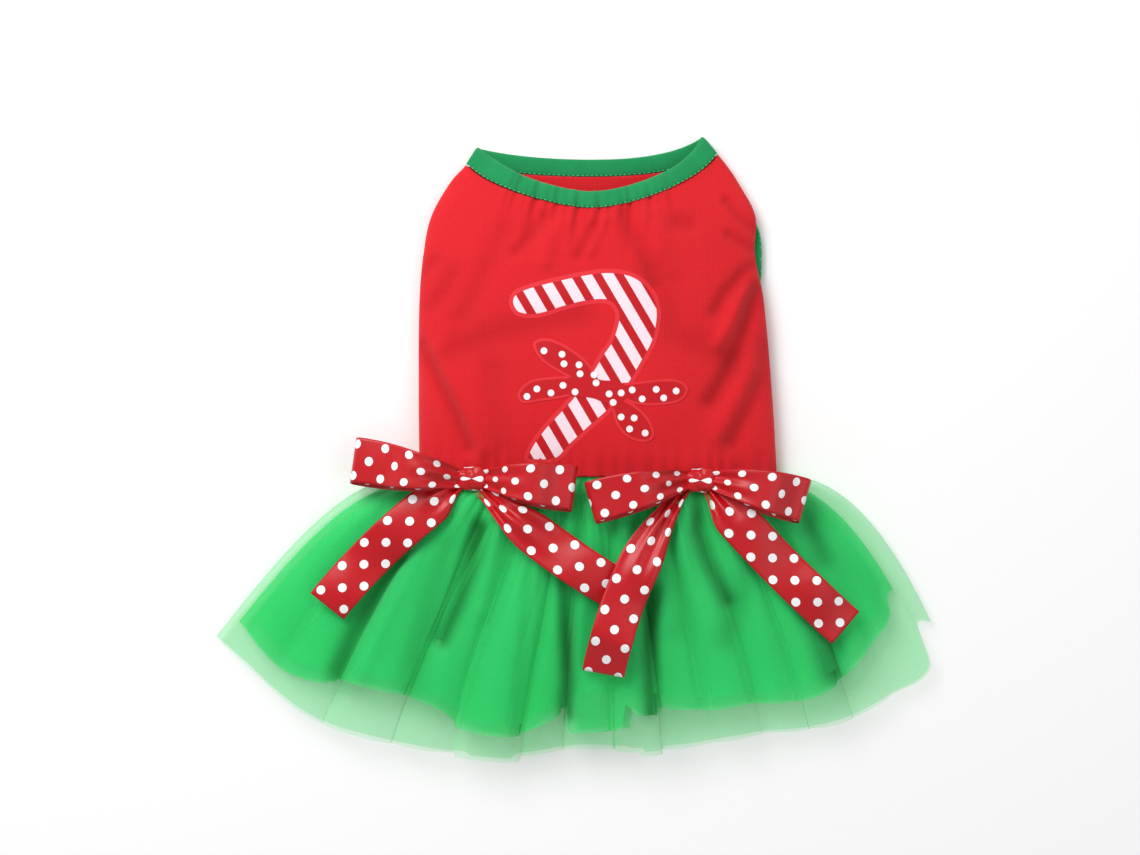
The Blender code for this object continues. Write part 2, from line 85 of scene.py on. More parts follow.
# Bows
RIBBON_WIDTH = 25 * MM
SATIN = 0.35 * MM
LOOP_LENGTH = 60 * MM
LOOP_HEIGHT = 10 * MM
LOOP_DROOP = 9 * MM
LOOP_SKEW = 4 * MM
TAIL_LENGTH = 105 * MM
TAIL_WAVE = 44 * MM
KNOT_LENGTH = 18 * MM
KNOT_WIDTH = 14 * MM
KNOT_HEIGHT = 9 * MM
DOT_ACROSS = 8.8 * MM
DOT_ALONG = 8.9 * MM
DOT_RADIUS = 2.55 * MM
DOT_RIM = 0.35 * MM

# The gap that keeps pieces clear of each other.
SEAT = 0.3 * MM

BodiceSection = namedtuple("BodiceSection", "along left right height")
BODICE_SECTIONS = [
    BodiceSection(0.00, 1.000, 1.004, 0.90),
    BodiceSection(0.21, 1.004, 0.981, 1.00),
    BodiceSection(0.51, 1.000, 0.932, 0.97),
    BodiceSection(0.66, 0.976, 0.882, 0.86),
    BodiceSection(0.77, 0.932, 0.884, 0.72),
    BodiceSection(0.876, 0.820, 0.782, 0.56),
    BodiceSection(0.925, 0.738, 0.720, 0.50),
    BodiceSection(1.01, 0.640, 0.590, 0.44),
]

NeckSeam = namedtuple("NeckSeam", "middle left right power")
# The line is rounded at its middle over this share of the half width.
NECK_ROUND = 0.12
BACK_NECK_SEAM = NeckSeam(0.780, 0.924, 0.956, 1.45)
BELLY_NECK_SEAM = NeckSeam(0.890, 0.924, 0.956, 2.2)

LegHole = namedtuple("LegHole", "name across along rise")
LEG_HOLES = [
    LegHole("leg_binding_left", -0.76, 0.638, 0.5),
    LegHole("leg_binding_right", 0.755, 0.638, 1.0),
]

SideEdge = namedtuple("SideEdge", "reach start_turn start_pull end_turn end_pull")
LEFT_EDGE = SideEdge(0.533, 97, 0.23, 38, 0.44)
RIGHT_EDGE = SideEdge(0.467, 98, 0.15, 25, 0.48)
MIDDLE_PULL = 0.32

HemPoint = namedtuple("HemPoint", "at drop")
HEM = [
    HemPoint(-1.00, 0.585),
    HemPoint(-0.91, 0.694),
    HemPoint(-0.77, 0.845),
    HemPoint(-0.60, 0.935),
    HemPoint(-0.37, 0.986),
    HemPoint(-0.22, 1.000),
    HemPoint(-0.06, 0.975),
    HemPoint(0.19, 0.975),
    HemPoint(0.48, 0.920),
    HemPoint(0.71, 0.885),
    HemPoint(0.87, 0.790),
    HemPoint(1.00, 0.650),
]

SkirtSection = namedtuple("SkirtSection", "along height side fold")
SKIRT_SECTIONS = [
    SkirtSection(0.00, 0.70, 0.80, 0.10),
    SkirtSection(0.07, 0.93, 0.95, 0.30),
    SkirtSection(0.16, 1.00, 1.00, 0.45),
    SkirtSection(0.35, 0.92, 0.85, 0.70),
    SkirtSection(0.60, 0.76, 0.70, 0.90),
    SkirtSection(0.85, 0.58, 0.60, 1.00),
    SkirtSection(1.00, 0.48, 0.50, 1.00),
]

# tuck is how deeply a fold is laid over the next one: above 1 it overlaps it.
Fold = namedtuple("Fold", "until lift crest tuck")
FOLDS = [
    Fold(-0.97, 0.00, 0.50, 0.0),
    Fold(-0.86, 0.50, 0.50, 0.3),
    Fold(-0.72, 0.75, 0.55, 0.5),
    Fold(-0.54, 1.00, 0.30, 1.1),
    Fold(-0.38, 0.65, 0.50, 0.5),
    Fold(-0.20, 1.00, 0.60, 1.0),
    Fold(-0.09, 0.75, 0.45, 0.9),
    Fold(0.05, 0.75, 0.50, 1.2),
    Fold(0.19, 1.00, 0.70, 1.3),
    Fold(0.34, 0.60, 0.50, 0.6),
    Fold(0.50, 0.90, 0.40, 0.6),
    Fold(0.63, 0.60, 0.50, 0.5),
    Fold(0.76, 1.00, 0.70, 1.2),
    Fold(0.88, 0.75, 0.50, 0.4),
    Fold(0.97, 0.45, 0.50, 0.3),
]

# Where the net's cut edge hangs further down or less far than the skirt's own hem line, in metres.
HemStep = namedtuple("HemStep", "start end further")
OUTER_STEPS = [
    HemStep(-0.345, -0.217, 2.4 * MM),
    HemStep(-0.217, 0.10, -1.2 * MM),
    HemStep(0.135, 0.198, 2.6 * MM),
]
MIDDLE_STEPS = [
    HemStep(-0.062, 0.112, 17 * MM),
    HemStep(0.118, 0.20, 7 * MM),
]

HemCut = namedtuple("HemCut", "at shorter")
MIDDLE_CUTS = [
    HemCut(-1.00, 12 * MM),
    HemCut(-0.84, 11 * MM),
    HemCut(-0.70, 25 * MM),
    HemCut(-0.50, 27 * MM),
    HemCut(-0.36, 15 * MM),
    HemCut(-0.22, 13 * MM),
    HemCut(-0.07, 27 * MM),
    HemCut(0.15, 29 * MM),
    HemCut(0.30, 21 * MM),
    HemCut(0.50, 17 * MM),
    HemCut(0.65, 15 * MM),
    HemCut(0.78, 20 * MM),
    HemCut(1.00, 31 * MM),
]

# The right corner of the hem is notched: how far its cut edge is moved to the right and up.
CornerPoint = namedtuple("CornerPoint", "at right up")
RIGHT_CORNER = [
    CornerPoint(0.880, 0 * MM, 0 * MM),
    CornerPoint(0.950, 9.0 * MM, 3 * MM),
    CornerPoint(0.976, -3.5 * MM, 23 * MM),
    CornerPoint(1.000, -0.5 * MM, 20 * MM),
]

# How much of that notch the layers under the outer one have.
INNER_NOTCH = 0.3

# The three layers of net. shift is how far its folds are out of step with the outer one's, as a share of
# the half width, flat_width the length of the strip that was gathered into it, and cover how much of the
# light one flat sheet of it stops.
Layer = namedtuple("Layer", "name order shorter cuts steps shift flat_width cover")
LAYERS = [
    Layer("outer", 0, 0 * MM, None, OUTER_STEPS, 0.000, 1.00, 0.22),
    Layer("middle", 1, 0 * MM, MIDDLE_CUTS, MIDDLE_STEPS, 0.012, 0.86, 0.50),
    Layer("inner", 2, 7 * MM, MIDDLE_CUTS, [], -0.012, 0.80, 0.58),
]

# Creases of the cloth, through places of the photo's frame in pixels. rise is their height, below zero for
# a valley, reach how wide they are to each side, and deep how much painted shade darkens their cloth's
# colour (on the net partly also the denser colour of its gathered layers).
Crease = namedtuple("Crease", "places rise reach deep")
JERSEY_CREASES = [
    Crease([(421, 345), (438, 380), (455, 415), (468, 448)], -2.0 * MM, 4.5 * MM, 0.5),
    Crease([(436, 352), (452, 385), (470, 420), (480, 448)], 1.6 * MM, 7 * MM, 0),
    Crease([(414, 280), (432, 262)], -1.0 * MM, 5 * MM, 0.3),
    Crease([(430, 305), (446, 292), (452, 275)], -1.0 * MM, 6 * MM, 0.25),
    Crease([(505, 232), (492, 262), (478, 290), (462, 318)], -1.0 * MM, 7 * MM, 0.2),
    Crease([(543, 218), (532, 235), (516, 252)], -1.3 * MM, 4 * MM, 0.35),
    Crease([(560, 222), (550, 240), (545, 262)], 1.3 * MM, 5 * MM, 0),
    Crease([(594, 226), (586, 242), (580, 256)], -1.4 * MM, 3.2 * MM, 0.4),
    Crease([(606, 218), (596, 236), (590, 252)], 1.2 * MM, 3.2 * MM, 0),
    Crease([(625, 214), (634, 236), (645, 258), (655, 285)], -1.3 * MM, 4 * MM, 0.35),
    Crease([(650, 215), (660, 240), (668, 268)], 1.2 * MM, 6 * MM, 0),
    Crease([(681, 222), (690, 224)], -1.3 * MM, 5 * MM, 0.35),
    Crease([(755, 228), (742, 218), (728, 200)], -1.2 * MM, 3.2 * MM, 0.35),
    Crease([(756, 250), (744, 243), (730, 234)], -1.2 * MM, 3.0 * MM, 0.35),
    Crease([(757, 264), (742, 276), (726, 294), (716, 312)], -1.8 * MM, 4.5 * MM, 0.5),
    Crease([(756, 276), (744, 296), (732, 322), (718, 345)], 1.6 * MM, 4.5 * MM, 0),
    Crease([(758, 288), (750, 315), (740, 345), (728, 375), (712, 402)], -2.6 * MM, 5.5 * MM, 0.7),
    Crease([(752, 372), (740, 402), (722, 432)], 1.5 * MM, 8 * MM, 0),
    Crease([(768, 345), (762, 380), (748, 410), (732, 442)], -1.8 * MM, 6 * MM, 0.45),
    Crease([(450, 352), (490, 338), (540, 324), (580, 318)], -1.2 * MM, 9 * MM, 0.35),
    Crease([(494, 372), (498, 410), (502, 446)], -0.9 * MM, 8 * MM, 0.25),
    Crease([(658, 272), (668, 305), (676, 335), (705, 350), (732, 362)], -1.2 * MM, 9 * MM, 0.35),
]
NET_CREASES = [
    Crease([(398, 556), (372, 598), (350, 640), (335, 676)], -4.0 * MM, 7 * MM, 0.9),
    Crease([(414, 556), (392, 598), (372, 640), (356, 682)], 3.0 * MM, 6 * MM, 0),
    Crease([(481, 528), (472, 565), (458, 605), (442, 640)], -4.5 * MM, 5.5 * MM, 1.0),
    Crease([(494, 520), (492, 560), (484, 610)], 2.5 * MM, 6 * MM, 0),
    Crease([(446, 545), (432, 590), (420, 640), (412, 700)], -2.0 * MM, 9 * MM, 0.35),
    Crease([(530, 560), (524, 640), (514, 750)], -1.5 * MM, 3.5 * MM, 0.3),
    Crease([(562, 555), (566, 620), (569, 680), (567, 716)], -4.0 * MM, 4.5 * MM, 1.0),
    Crease([(580, 590), (576, 650), (574, 710)], 2.5 * MM, 5 * MM, 0),
    Crease([(650, 590), (648, 650), (651, 716)], -4.0 * MM, 5 * MM, 1.0),
    Crease([(664, 560), (662, 620), (660, 700)], 2.5 * MM, 6 * MM, 0),
    Crease([(699, 500), (697, 532), (708, 562), (728, 600)], -3.5 * MM, 5 * MM, 0.8),
    Crease([(690, 510), (680, 560), (672, 620)], 2.0 * MM, 7 * MM, 0),
    Crease([(750, 560), (742, 600), (728, 640)], -2.0 * MM, 8 * MM, 0.4),
    Crease([(800, 590), (822, 632), (834, 676)], -3.5 * MM, 9 * MM, 0.9),
    Crease([(786, 600), (802, 650), (814, 700)], 2.0 * MM, 6 * MM, 0),
    Crease([(845, 560), (880, 600), (905, 640)], -1.5 * MM, 10 * MM, 0.2),
    Crease([(806, 498), (812, 530), (822, 560)], -2.5 * MM, 7 * MM, 0.6),
    Crease([(352, 482), (380, 492)], -2.0 * MM, 7 * MM, 0.5),
]

Bow = namedtuple("Bow", "name across below")
LEFT_BOW = Bow("left_bow", -0.698, 0.20)
RIGHT_BOW = Bow("right_bow", 0.563, 0.24)

# spread is how far along, as a share of its length, a tail has opened to its full width.
Strip = namedtuple("Strip", "bow name length start_turn end_turn across below end_width spread",
                   defaults=(1,))
TAILS = [
    Strip(LEFT_BOW, "tail_left", 0.98, 215, 231, -0.60, 0.35, 1.0, 0.20),
    Strip(LEFT_BOW, "tail_right", 1.06, 318, 331, 0.45, 0.60, 1.0, 0.38),
    Strip(RIGHT_BOW, "tail_left", 1.10, 233, 260, -0.65, 0.55, 1.0, 0.45),
    Strip(RIGHT_BOW, "tail_right", 1.06, 310, 319, 0.45, 0.55, 1.0, 0.20),
]
LOOPS = [
    Strip(LEFT_BOW, "loop_left", 1.03, 166, 172, -0.52, 0.0, 1.06),
    Strip(LEFT_BOW, "loop_right", 0.86, 358, 352, 0.52, 0.0, 1.04),
    Strip(RIGHT_BOW, "loop_left", 0.95, 188, 196, -0.52, 0.0, 0.96),
    Strip(RIGHT_BOW, "loop_right", 0.90, 352, 344, 0.52, 0.0, 1.02),
]
# How far a strip runs on into its knot, and how high over the knot's foot it does.
INTO_KNOT = 5 * MM
TAIL_IN_KNOT = 0.5 * MM
LOOP_IN_KNOT = 3.5 * MM

# How much of the belly side rolls up at each side, and the share of a tube's columns that lie on its back.
ROLL = 0.3
BACK_SHARE = 0.64


def mix(first, second, share):
    """The value or point that lies a share of the way from the first to the second."""
    return first + (second - first) * share


def ease(share):
    """A smooth step from 0 to 1."""
    share = min(max(share, 0), 1)
    return share * share * (3 - 2 * share)


def read(rows, column, at):
    """A column of a table at a place between its rows, on one smooth curve through them all."""
    places = [row[0] for row in rows]
    values = [getattr(row, column) for row in rows]
    last = len(rows) - 1
    at = min(max(at, places[0]), places[last])
    low = max(index for index in range(last) if places[index] <= at)
    span = places[low + 1] - places[low]
    share = (at - places[low]) / span

    def slope(index):
        before, after = max(index - 1, 0), min(index + 1, last)
        return (values[after] - values[before]) / (places[after] - places[before]) * span

    start, end = slope(low), slope(low + 1)
    rise = values[low + 1] - values[low]
    return (values[low] + start * share + (3 * rise - 2 * start - end) * share ** 2
            + (start + end - 2 * rise) * share ** 3)


def bump_at(distance, reach):
    """A round bump of height 1 that fades out at its reach."""
    return math.exp(-(distance / reach) ** 2)


def on_back(point):
    """A place of the photo's frame, in metres in plan."""
    return Vector(((point[0] - WAIST_MIDDLE[0]) * PIXEL, (WAIST_MIDDLE[1] - point[1]) * PIXEL))


def laid_out(creases):
    """Creases as stretches between two places in plan, with their rise, reach and painted shade."""
    stretches = []
    for crease in creases:
        places = [on_back(place) for place in crease.places]
        for start, end in zip(places, places[1:]):
            stretches.append((start, end - start, (end - start).length_squared, crease))
    return stretches


def crease_at(place, stretches):
    """How high creases lift a place in plan, and how much painted shade they give its colour."""
    nearest = {}
    for start, run, length, crease in stretches:
        away = place - start
        if away.length_squared > (3 * crease.reach) ** 2 + 2 * length:
            continue
        share = min(max(away.dot(run) / length, 0), 1)
        distance = (away - run * share).length
        if distance < nearest.get(id(crease), (9, None))[0]:
            nearest[id(crease)] = (distance, crease)
    rise = deep = 0
    for distance, crease in nearest.values():
        bump = bump_at(distance, crease.reach)
        rise += crease.rise * bump
        deep += crease.deep * bump
    return rise, min(deep, 1)


def ripple(x, y, z=0.0):
    """Smooth noise between about -1 and 1."""
    return noise.noise(Vector((x, y, z)))


# Shader maths

class Value:
    """A node's output. Python's operators on it add Math nodes."""

    def __init__(self, finish, socket):
        self.finish = finish
        self.socket = socket

    def math(self, operation, *others):
        inputs = {index: other for index, other in enumerate((self, *others))}
        return self.finish.node("ShaderNodeMath", {"operation": operation}, inputs)

    def __add__(self, other):
        return self.math("ADD", other)

    def __radd__(self, other):
        return self.math("ADD", other)

    def __sub__(self, other):
        return self.math("SUBTRACT", other)

    def __rsub__(self, other):
        return (self * -1).math("ADD", other)

    def __mul__(self, other):
        return self.math("MULTIPLY", other)

    def __rmul__(self, other):
        return self.math("MULTIPLY", other)

    def __truediv__(self, other):
        return self.math("DIVIDE", other)

    def __lt__(self, other):
        return self.math("LESS_THAN", other)

    def clamp(self):
        return self.math("MINIMUM", 1).math("MAXIMUM", 0)


class Finish:
    """A material with a Principled shader, whose nodes are added one call at a time."""

    def __init__(self, name, **constants):
        self.material = bpy.data.materials.new(name)
        self.material.use_nodes = True
        self.tree = self.material.node_tree
        self.shader = self.tree.nodes["Principled BSDF"]
        for socket, constant in constants.items():
            self.shader.inputs[socket.replace("_", " ")].default_value = constant

    def node(self, kind, settings, inputs):
        made = self.tree.nodes.new(kind)
        for key, setting in settings.items():
            setattr(made, key, setting)
        for key, given in inputs.items():
            self.feed(made.inputs[key], given)
        return Value(self, made.outputs[0])

    def feed(self, socket, given):
        if isinstance(given, Value):
            self.tree.links.new(given.socket, socket)
        else:
            socket.default_value = given

    def set(self, socket, given):
        self.feed(self.shader.inputs[socket], given)

    def place(self, kind="Object"):
        made = self.tree.nodes.new("ShaderNodeTexCoord")
        return Value(self, made.outputs[kind])

    def parts(self, vector):
        made = self.tree.nodes.new("ShaderNodeSeparateXYZ")
        self.feed(made.inputs[0], vector)
        return [Value(self, made.outputs[index]) for index in range(3)]

    def attribute(self, name):
        made = self.tree.nodes.new("ShaderNodeAttribute")
        made.attribute_name = name
        return Value(self, made.outputs["Fac"])

    def noise(self, scale, detail):
        inputs = {"Scale": scale, "Detail": detail, "Roughness": 0.5, "Vector": self.place()}
        return self.node("ShaderNodeTexNoise", {}, inputs)

    def blend(self, share, first, second):
        made = self.tree.nodes.new("ShaderNodeMix")
        made.data_type = "RGBA"
        self.feed(made.inputs["Factor"], share)
        self.feed(made.inputs["A"], first)
        self.feed(made.inputs["B"], second)
        return Value(self, made.outputs["Result"])

    def relief(self, height, depth):
        return self.node("ShaderNodeBump", {}, {"Height": height, "Distance": depth, "Strength": 1.0})


def colour(red, green, blue):
    """A colour given as it looks on screen, from 0 to 255, as light."""

    def light(level):
        level /= 255
        return level / 12.92 if level <= 0.04045 else ((level + 0.055) / 1.055) ** 2.4

    return (light(red), light(green), light(blue), 1)


def jersey_finish():
    """Matt knitted red jersey, with the fine ribs of its stitches and painted shade in its creases."""
    finish = Finish("red jersey", Roughness=0.88, Sheen_Weight=0.12, Sheen_Roughness=0.5)
    finish.shader.inputs["Specular IOR Level"].default_value = 0.25
    patch = finish.noise(14, 3)
    lit = finish.blend(patch, colour(203, 20, 31), colour(222, 32, 41))
    # Painted shade: the jersey's creases are darkened towards a deep red.
    deep = finish.attribute("deep") * 0.6
    finish.set("Base Color", finish.blend(deep, lit, colour(138, 6, 15)))
    x, y, z = finish.parts(finish.place())
    rib = (x * (2 * math.pi / 0.0011)).math("SINE")
    row = (y * (2 * math.pi / 0.0014)).math("SINE")
    fuzz = finish.noise(1500, 1)
    finish.set("Normal", finish.relief(rib * 0.5 + row * 0.3 + fuzz, 0.00012))
    return finish.material


def rib_finish():
    """Green rib knit, with short ribs and painted shade along its lines of stitches."""
    finish = Finish("green rib", Roughness=0.82, Sheen_Weight=0.15)
    finish.shader.inputs["Specular IOR Level"].default_value = 0.25
    patch = finish.noise(60, 3)
    lit = finish.blend(patch, colour(12, 128, 70), colour(26, 154, 90))
    around, section, unused = finish.parts(finish.place("UV"))
    # Painted shade: the grooves along the two lines of stitches are darkened.
    line = ((section - 0.5).math("ABSOLUTE") - 0.095).math("ABSOLUTE") < 0.014
    finish.set("Base Color", finish.blend(line * 0.55, lit, colour(4, 74, 38)))
    fuzz = finish.noise(1100, 2)
    x, y, z = finish.parts(finish.place())
    rib = ((x + y) * (2 * math.pi / 0.0012)).math("SINE")
    finish.set("Normal", finish.relief(rib * 0.4 + fuzz, 0.00014))
    return finish.material


def thread_finish():
    """Green sewing thread, a little lighter than the binding."""
    finish = Finish("green thread", Roughness=0.6)
    patch = finish.noise(400, 1)
    finish.set("Base Color", finish.blend(patch, colour(40, 160, 96), colour(90, 205, 140)))
    finish.set("Normal", finish.relief(finish.noise(3000, 1), 0.00004))
    return finish.material


def net_finish(layer):
    """Fine soft net: thin where one sheet lies alone, denser on the flanks of its folds, with painted shade
    in its valleys, creases and gathers.
    """
    finish = Finish(layer.name + " net", Roughness=0.55, Sheen_Weight=0.2)
    finish.shader.inputs["Specular IOR Level"].default_value = 0.2
    patch = finish.noise(18, 2)
    lit = finish.blend(patch, colour(44, 222, 112), colour(66, 238, 134))
    deep = finish.attribute("deep")
    # Painted shade: fold valleys, creases and the gathers under the waist darken towards deep green, partly
    # the denser colour of bunched net and partly shade.
    finish.set("Base Color", finish.blend((deep * 0.95).clamp(), lit, colour(0, 122, 42)))
    grain = finish.noise(900, 1)
    cover = finish.attribute("folded") * layer.cover * (1 + deep * 0.9)
    cover = (cover + (grain - 0.5) * 0.06).clamp()
    finish.set("Alpha", cover)
    finish.set("Normal", finish.relief(grain, 0.00008))
    return finish.material


def satin_finish(name):
    """Glossy red satin ribbon with rows of white dots, on a UV map in metres across and along it."""
    finish = Finish(name, Roughness=0.34)
    finish.shader.inputs["Specular IOR Level"].default_value = 0.42
    across, along, unused = finish.parts(finish.place("UV"))
    patch = finish.noise(30, 2)
    red = finish.blend(patch, colour(178, 6, 16), colour(198, 12, 24))
    nearest = None
    for half in (0, 1):
        right = across / DOT_ACROSS - half
        up = along / DOT_ALONG - half
        right = (right - (right / 2).math("ROUND") * 2) * DOT_ACROSS
        up = (up - (up / 2).math("ROUND") * 2) * DOT_ALONG
        distance = (right * right + up * up).math("SQRT")
        nearest = distance if nearest is None else nearest.math("MINIMUM", distance)
    dot = nearest < DOT_RADIUS
    rim = (nearest < DOT_RADIUS + DOT_RIM) * 0.45
    dark = finish.blend(rim, red, colour(120, 6, 14))
    finish.set("Base Color", finish.blend(dot, dark, colour(246, 244, 247)))
    finish.set("Roughness", 0.34 + dot * 0.16)
    weave = (along * (2 * math.pi / 0.0006)).math("SINE")
    selvedge = (across.math("ABSOLUTE") - (RIBBON_WIDTH / 2 - 0.0008)).math("ABSOLUTE") < 0.0004
    finish.set("Normal", finish.relief(weave * 0.2 + selvedge * -0.5, 0.00008))
    return finish.material


def ink_finish(name, shade, striped=False):
    """Slightly glossy printed ink, plain or with the slanting stripes of a candy cane."""
    finish = Finish(name, Roughness=0.6)
    finish.shader.inputs["Specular IOR Level"].default_value = 0.25
    grain = finish.noise(700, 2)
    flat = finish.blend(grain, shade, [channel * 0.93 for channel in shade[:3]] + [1])
    if striped:
        x, y, z = finish.parts(finish.place())
        lean = math.radians(STRIPE_LEAN)
        across = (x * math.sin(lean) + y * math.cos(lean)) / STRIPE_PITCH + STRIPE_START
        stripe = (across - across.math("FLOOR")) < WHITE_SHARE
        flat = finish.blend(stripe, colour(190, 14, 24), flat)
    finish.set("Base Color", flat)
    finish.set("Normal", finish.relief(grain, 0.00003))
    return finish.material


def floor_finish():
    """A plain white studio floor."""
    finish = Finish("floor", Roughness=0.9)
    finish.set("Base Color", (0.93, 0.93, 0.93, 1))
    return finish.material


# Making pieces

def deselect():
    """Leaves nothing selected."""
    bpy.ops.object.select_all(action="DESELECT")


def dress_with(piece, material):
    """Gives a piece its one material and smooth faces."""
    piece.data.materials.clear()
    piece.data.materials.append(material)
    piece.data.shade_smooth()


@contextmanager
def open_mesh(piece):
    """Opens a piece's mesh for the bmesh tools and writes it back."""
    build = bmesh.new()
    build.from_mesh(piece.data)
    yield build
    build.to_mesh(piece.data)
    build.free()


def recalculate(piece):
    """Turns all the faces of a closed piece outwards."""
    with open_mesh(piece) as build:
        bmesh.ops.recalc_face_normals(build, faces=build.faces)


def piece_of(name, points, faces):
    """A piece made of points and faces that are already known."""
    mesh = bpy.data.meshes.new(name)
    mesh.from_pydata(points, [], faces)
    piece = bpy.data.objects.new(name, mesh)
    bpy.context.scene.collection.objects.link(piece)
    return piece


def cloth(name, columns, rows, rule, closed=False, shaded=False):
    """A fine grid whose points a rule places by their two shares, with those shares as its UV map.

    The rule of a shaded cloth also gives how much painted shade darkens its colour at each point.
    """
    deselect()
    bpy.ops.mesh.primitive_grid_add(x_subdivisions=columns, y_subdivisions=rows, size=2)
    piece = bpy.context.object
    piece.name = name
    if shaded:
        painted_shades = []
        for vertex in piece.data.vertices:
            vertex.co, depth = rule((vertex.co.x + 1) / 2, (vertex.co.y + 1) / 2)
            painted_shades.append(depth)
        # The "deep" attribute carries this painted shade to the cloth's finish.
        piece.data.attributes.new("deep", "FLOAT", "POINT").data.foreach_set("value", painted_shades)
    else:
        for vertex in piece.data.vertices:
            vertex.co = rule((vertex.co.x + 1) / 2, (vertex.co.y + 1) / 2)
    if closed:
        with open_mesh(piece) as build:
            bmesh.ops.remove_doubles(build, verts=build.verts, dist=1e-6)
    return piece


def finish_modifier(piece, kind, **settings):
    """Adds a modifier to a piece and applies it."""
    deselect()
    piece.select_set(True)
    bpy.context.view_layer.objects.active = piece
    modifier = piece.modifiers.new(kind.lower(), kind)
    for key, setting in settings.items():
        setattr(modifier, key, setting)
    bpy.ops.object.modifier_apply(modifier=modifier.name)


def stand_in(piece, slot, *nodes):
    """Puts a piece on the dress in place of the frame's nodes."""
    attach(piece, "root")
    if nodes:
        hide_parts(*nodes)


# Bodice

def neck_seam(turn):
    """How far from the waist the jersey meets the neck binding."""
    across = math.cos(math.radians(turn))
    seam = BACK_NECK_SEAM if turn <= 180 else BELLY_NECK_SEAM
    tip = seam.right if across > 0 else seam.left
    reach = ((across ** 2 + NECK_ROUND ** 2) / (1 + NECK_ROUND ** 2)) ** 0.5
    return BODICE_LENGTH * mix(seam.middle, tip, reach ** seam.power)


def belly_height(side_height, turn):
    """Height of the belly side, which rolls down from the side fold and then lies flat."""
    reach = abs(math.sin(math.radians(turn))) / ROLL
    return side_height * max(0, 1 - reach) ** 2


def round_turn(share):
    """The turn at a share of the way round, with most of the columns on the back."""
    if share <= BACK_SHARE:
        return 180 * share / BACK_SHARE
    return 180 + 180 * (share - BACK_SHARE) / (1 - BACK_SHARE)


def neck_puckers(across, below):
    """Small gathers where the jersey is eased into the neck binding."""
    spread = ease((0.66 - abs(across + 0.04)) / 0.3)
    broad = math.cos(2 * math.pi * (across / 0.147 + 0.35 * ripple(across * 7, 1.3)))
    fine = math.cos(2 * math.pi * (across / 0.066 + 0.5 * ripple(across * 9, 4.1)))
    return spread * (1.2 * MM * broad * bump_at(below, 20 * MM) + 0.9 * MM * fine * bump_at(below, 10 * MM))


def waist_gathers(across, along):
    """Gathers of the jersey where it is sewn to the skirt."""
    wave = math.cos(2 * math.pi * (across / 0.085 + 0.6 * ripple(across * 6, 7.7)))
    return 0.55 * MM * wave * bump_at(along + BODICE_HEM, 16 * MM)


def soft_dents(x, y):
    """Broad soft hollows of cloth that lies loosely."""
    broad = ripple(x * 16, y * 11, 0.4)
    slanted = ripple((x + 0.7 * y) * 30, (y - x) * 9, 3.1)
    return 2.2 * MM * broad + 0.8 * MM * slanted


# How much deeper the jersey's creases are made than their table says, so that they read in soft light.
CREASE_STRENGTH = 1.5

JERSEY_STRETCHES = laid_out(JERSEY_CREASES)
NET_STRETCHES = laid_out(NET_CREASES)


def bodice_painted_shade(place):
    """How much painted shade darkens the jersey's colour in its creases at a point of the bodice."""
    if place.z < BODICE_SIDE_HEIGHT:
        return 0
    return crease_at(place.xy, JERSEY_STRETCHES)[1]


def bodice_point(turn, along, inset=0, detail=True):
    """A point of the bodice's tube, along metres from the waist and inset metres under its surface."""
    share = along / BODICE_LENGTH
    across = math.cos(math.radians(turn))
    up = math.sin(math.radians(turn))
    left = -read(BODICE_SECTIONS, "left", share) * CHEST_WIDTH / 2
    right = read(BODICE_SECTIONS, "right", share) * CHEST_WIDTH / 2
    x = mix(left, right, (1 + across) / 2) - inset * across
    if turn <= 180:
        top = read(BODICE_SECTIONS, "height", share) * BODICE_HEIGHT
        z = BODICE_SIDE_HEIGHT + (top - BODICE_SIDE_HEIGHT - inset) * up ** 0.9
        if detail:
            below = neck_seam(turn) - along
            lift = neck_puckers(across, below) + waist_gathers(across, along)
            lift += soft_dents(x, along) * ease(below / (30 * MM))
            lift += CREASE_STRENGTH * crease_at(Vector((x, along)), JERSEY_STRETCHES)[0]
            z += lift * min(1, up * 2.2)
    else:
        z = belly_height(BODICE_SIDE_HEIGHT, turn) + max(inset, 0) * min(1, -up / ROLL)
    return Vector((x, along, z))


def squarish(value, power):
    """A sine or cosine pushed outwards, so that a circle made with it turns squarer."""
    return math.copysign(abs(value) ** power, value)


def leg_hole_centre(hole):
    """The middle of a leg hole, on the floor."""
    return Vector((hole.across * CHEST_WIDTH / 2, hole.along * BODICE_LENGTH, 0))


def make_bodice(material):
    """The jersey tube, open at neck and waist, with its two leg holes."""

    def rule(around, along):
        turn = round_turn(1 - around)
        place = bodice_point(turn, mix(-BODICE_HEM, neck_seam(turn), along))
        return place, bodice_painted_shade(place)

    bodice = cloth("bodice_jersey", 300, 140, rule, closed=True, shaded=True)
    finish_modifier(bodice, "SOLIDIFY", thickness=JERSEY, offset=-1)
    for hole in LEG_HOLES:
        deselect()
        bpy.ops.mesh.primitive_cylinder_add(vertices=96, radius=0.5, depth=1)
        cutter = bpy.context.object
        top = BODICE_SIDE_HEIGHT - SEAT
        centre = leg_hole_centre(hole)
        for vertex in cutter.data.vertices:
            height = top if vertex.co.z > 0 else -top
            angle = math.atan2(vertex.co.y, vertex.co.x)
            x = LEG_HOLE_WIDTH / 2 * squarish(math.cos(angle), LEG_HOLE_SQUARE)
            y = LEG_HOLE_LENGTH / 2 * squarish(math.sin(angle), LEG_HOLE_SQUARE)
            vertex.co = centre + Vector((x, y, height))
        finish_modifier(bodice, "BOOLEAN", object=cutter)
        bpy.data.objects.remove(cutter, do_unlink=True)
    dress_with(bodice, material)
    stand_in(bodice, "red_jersey", "bodice")
    return bodice


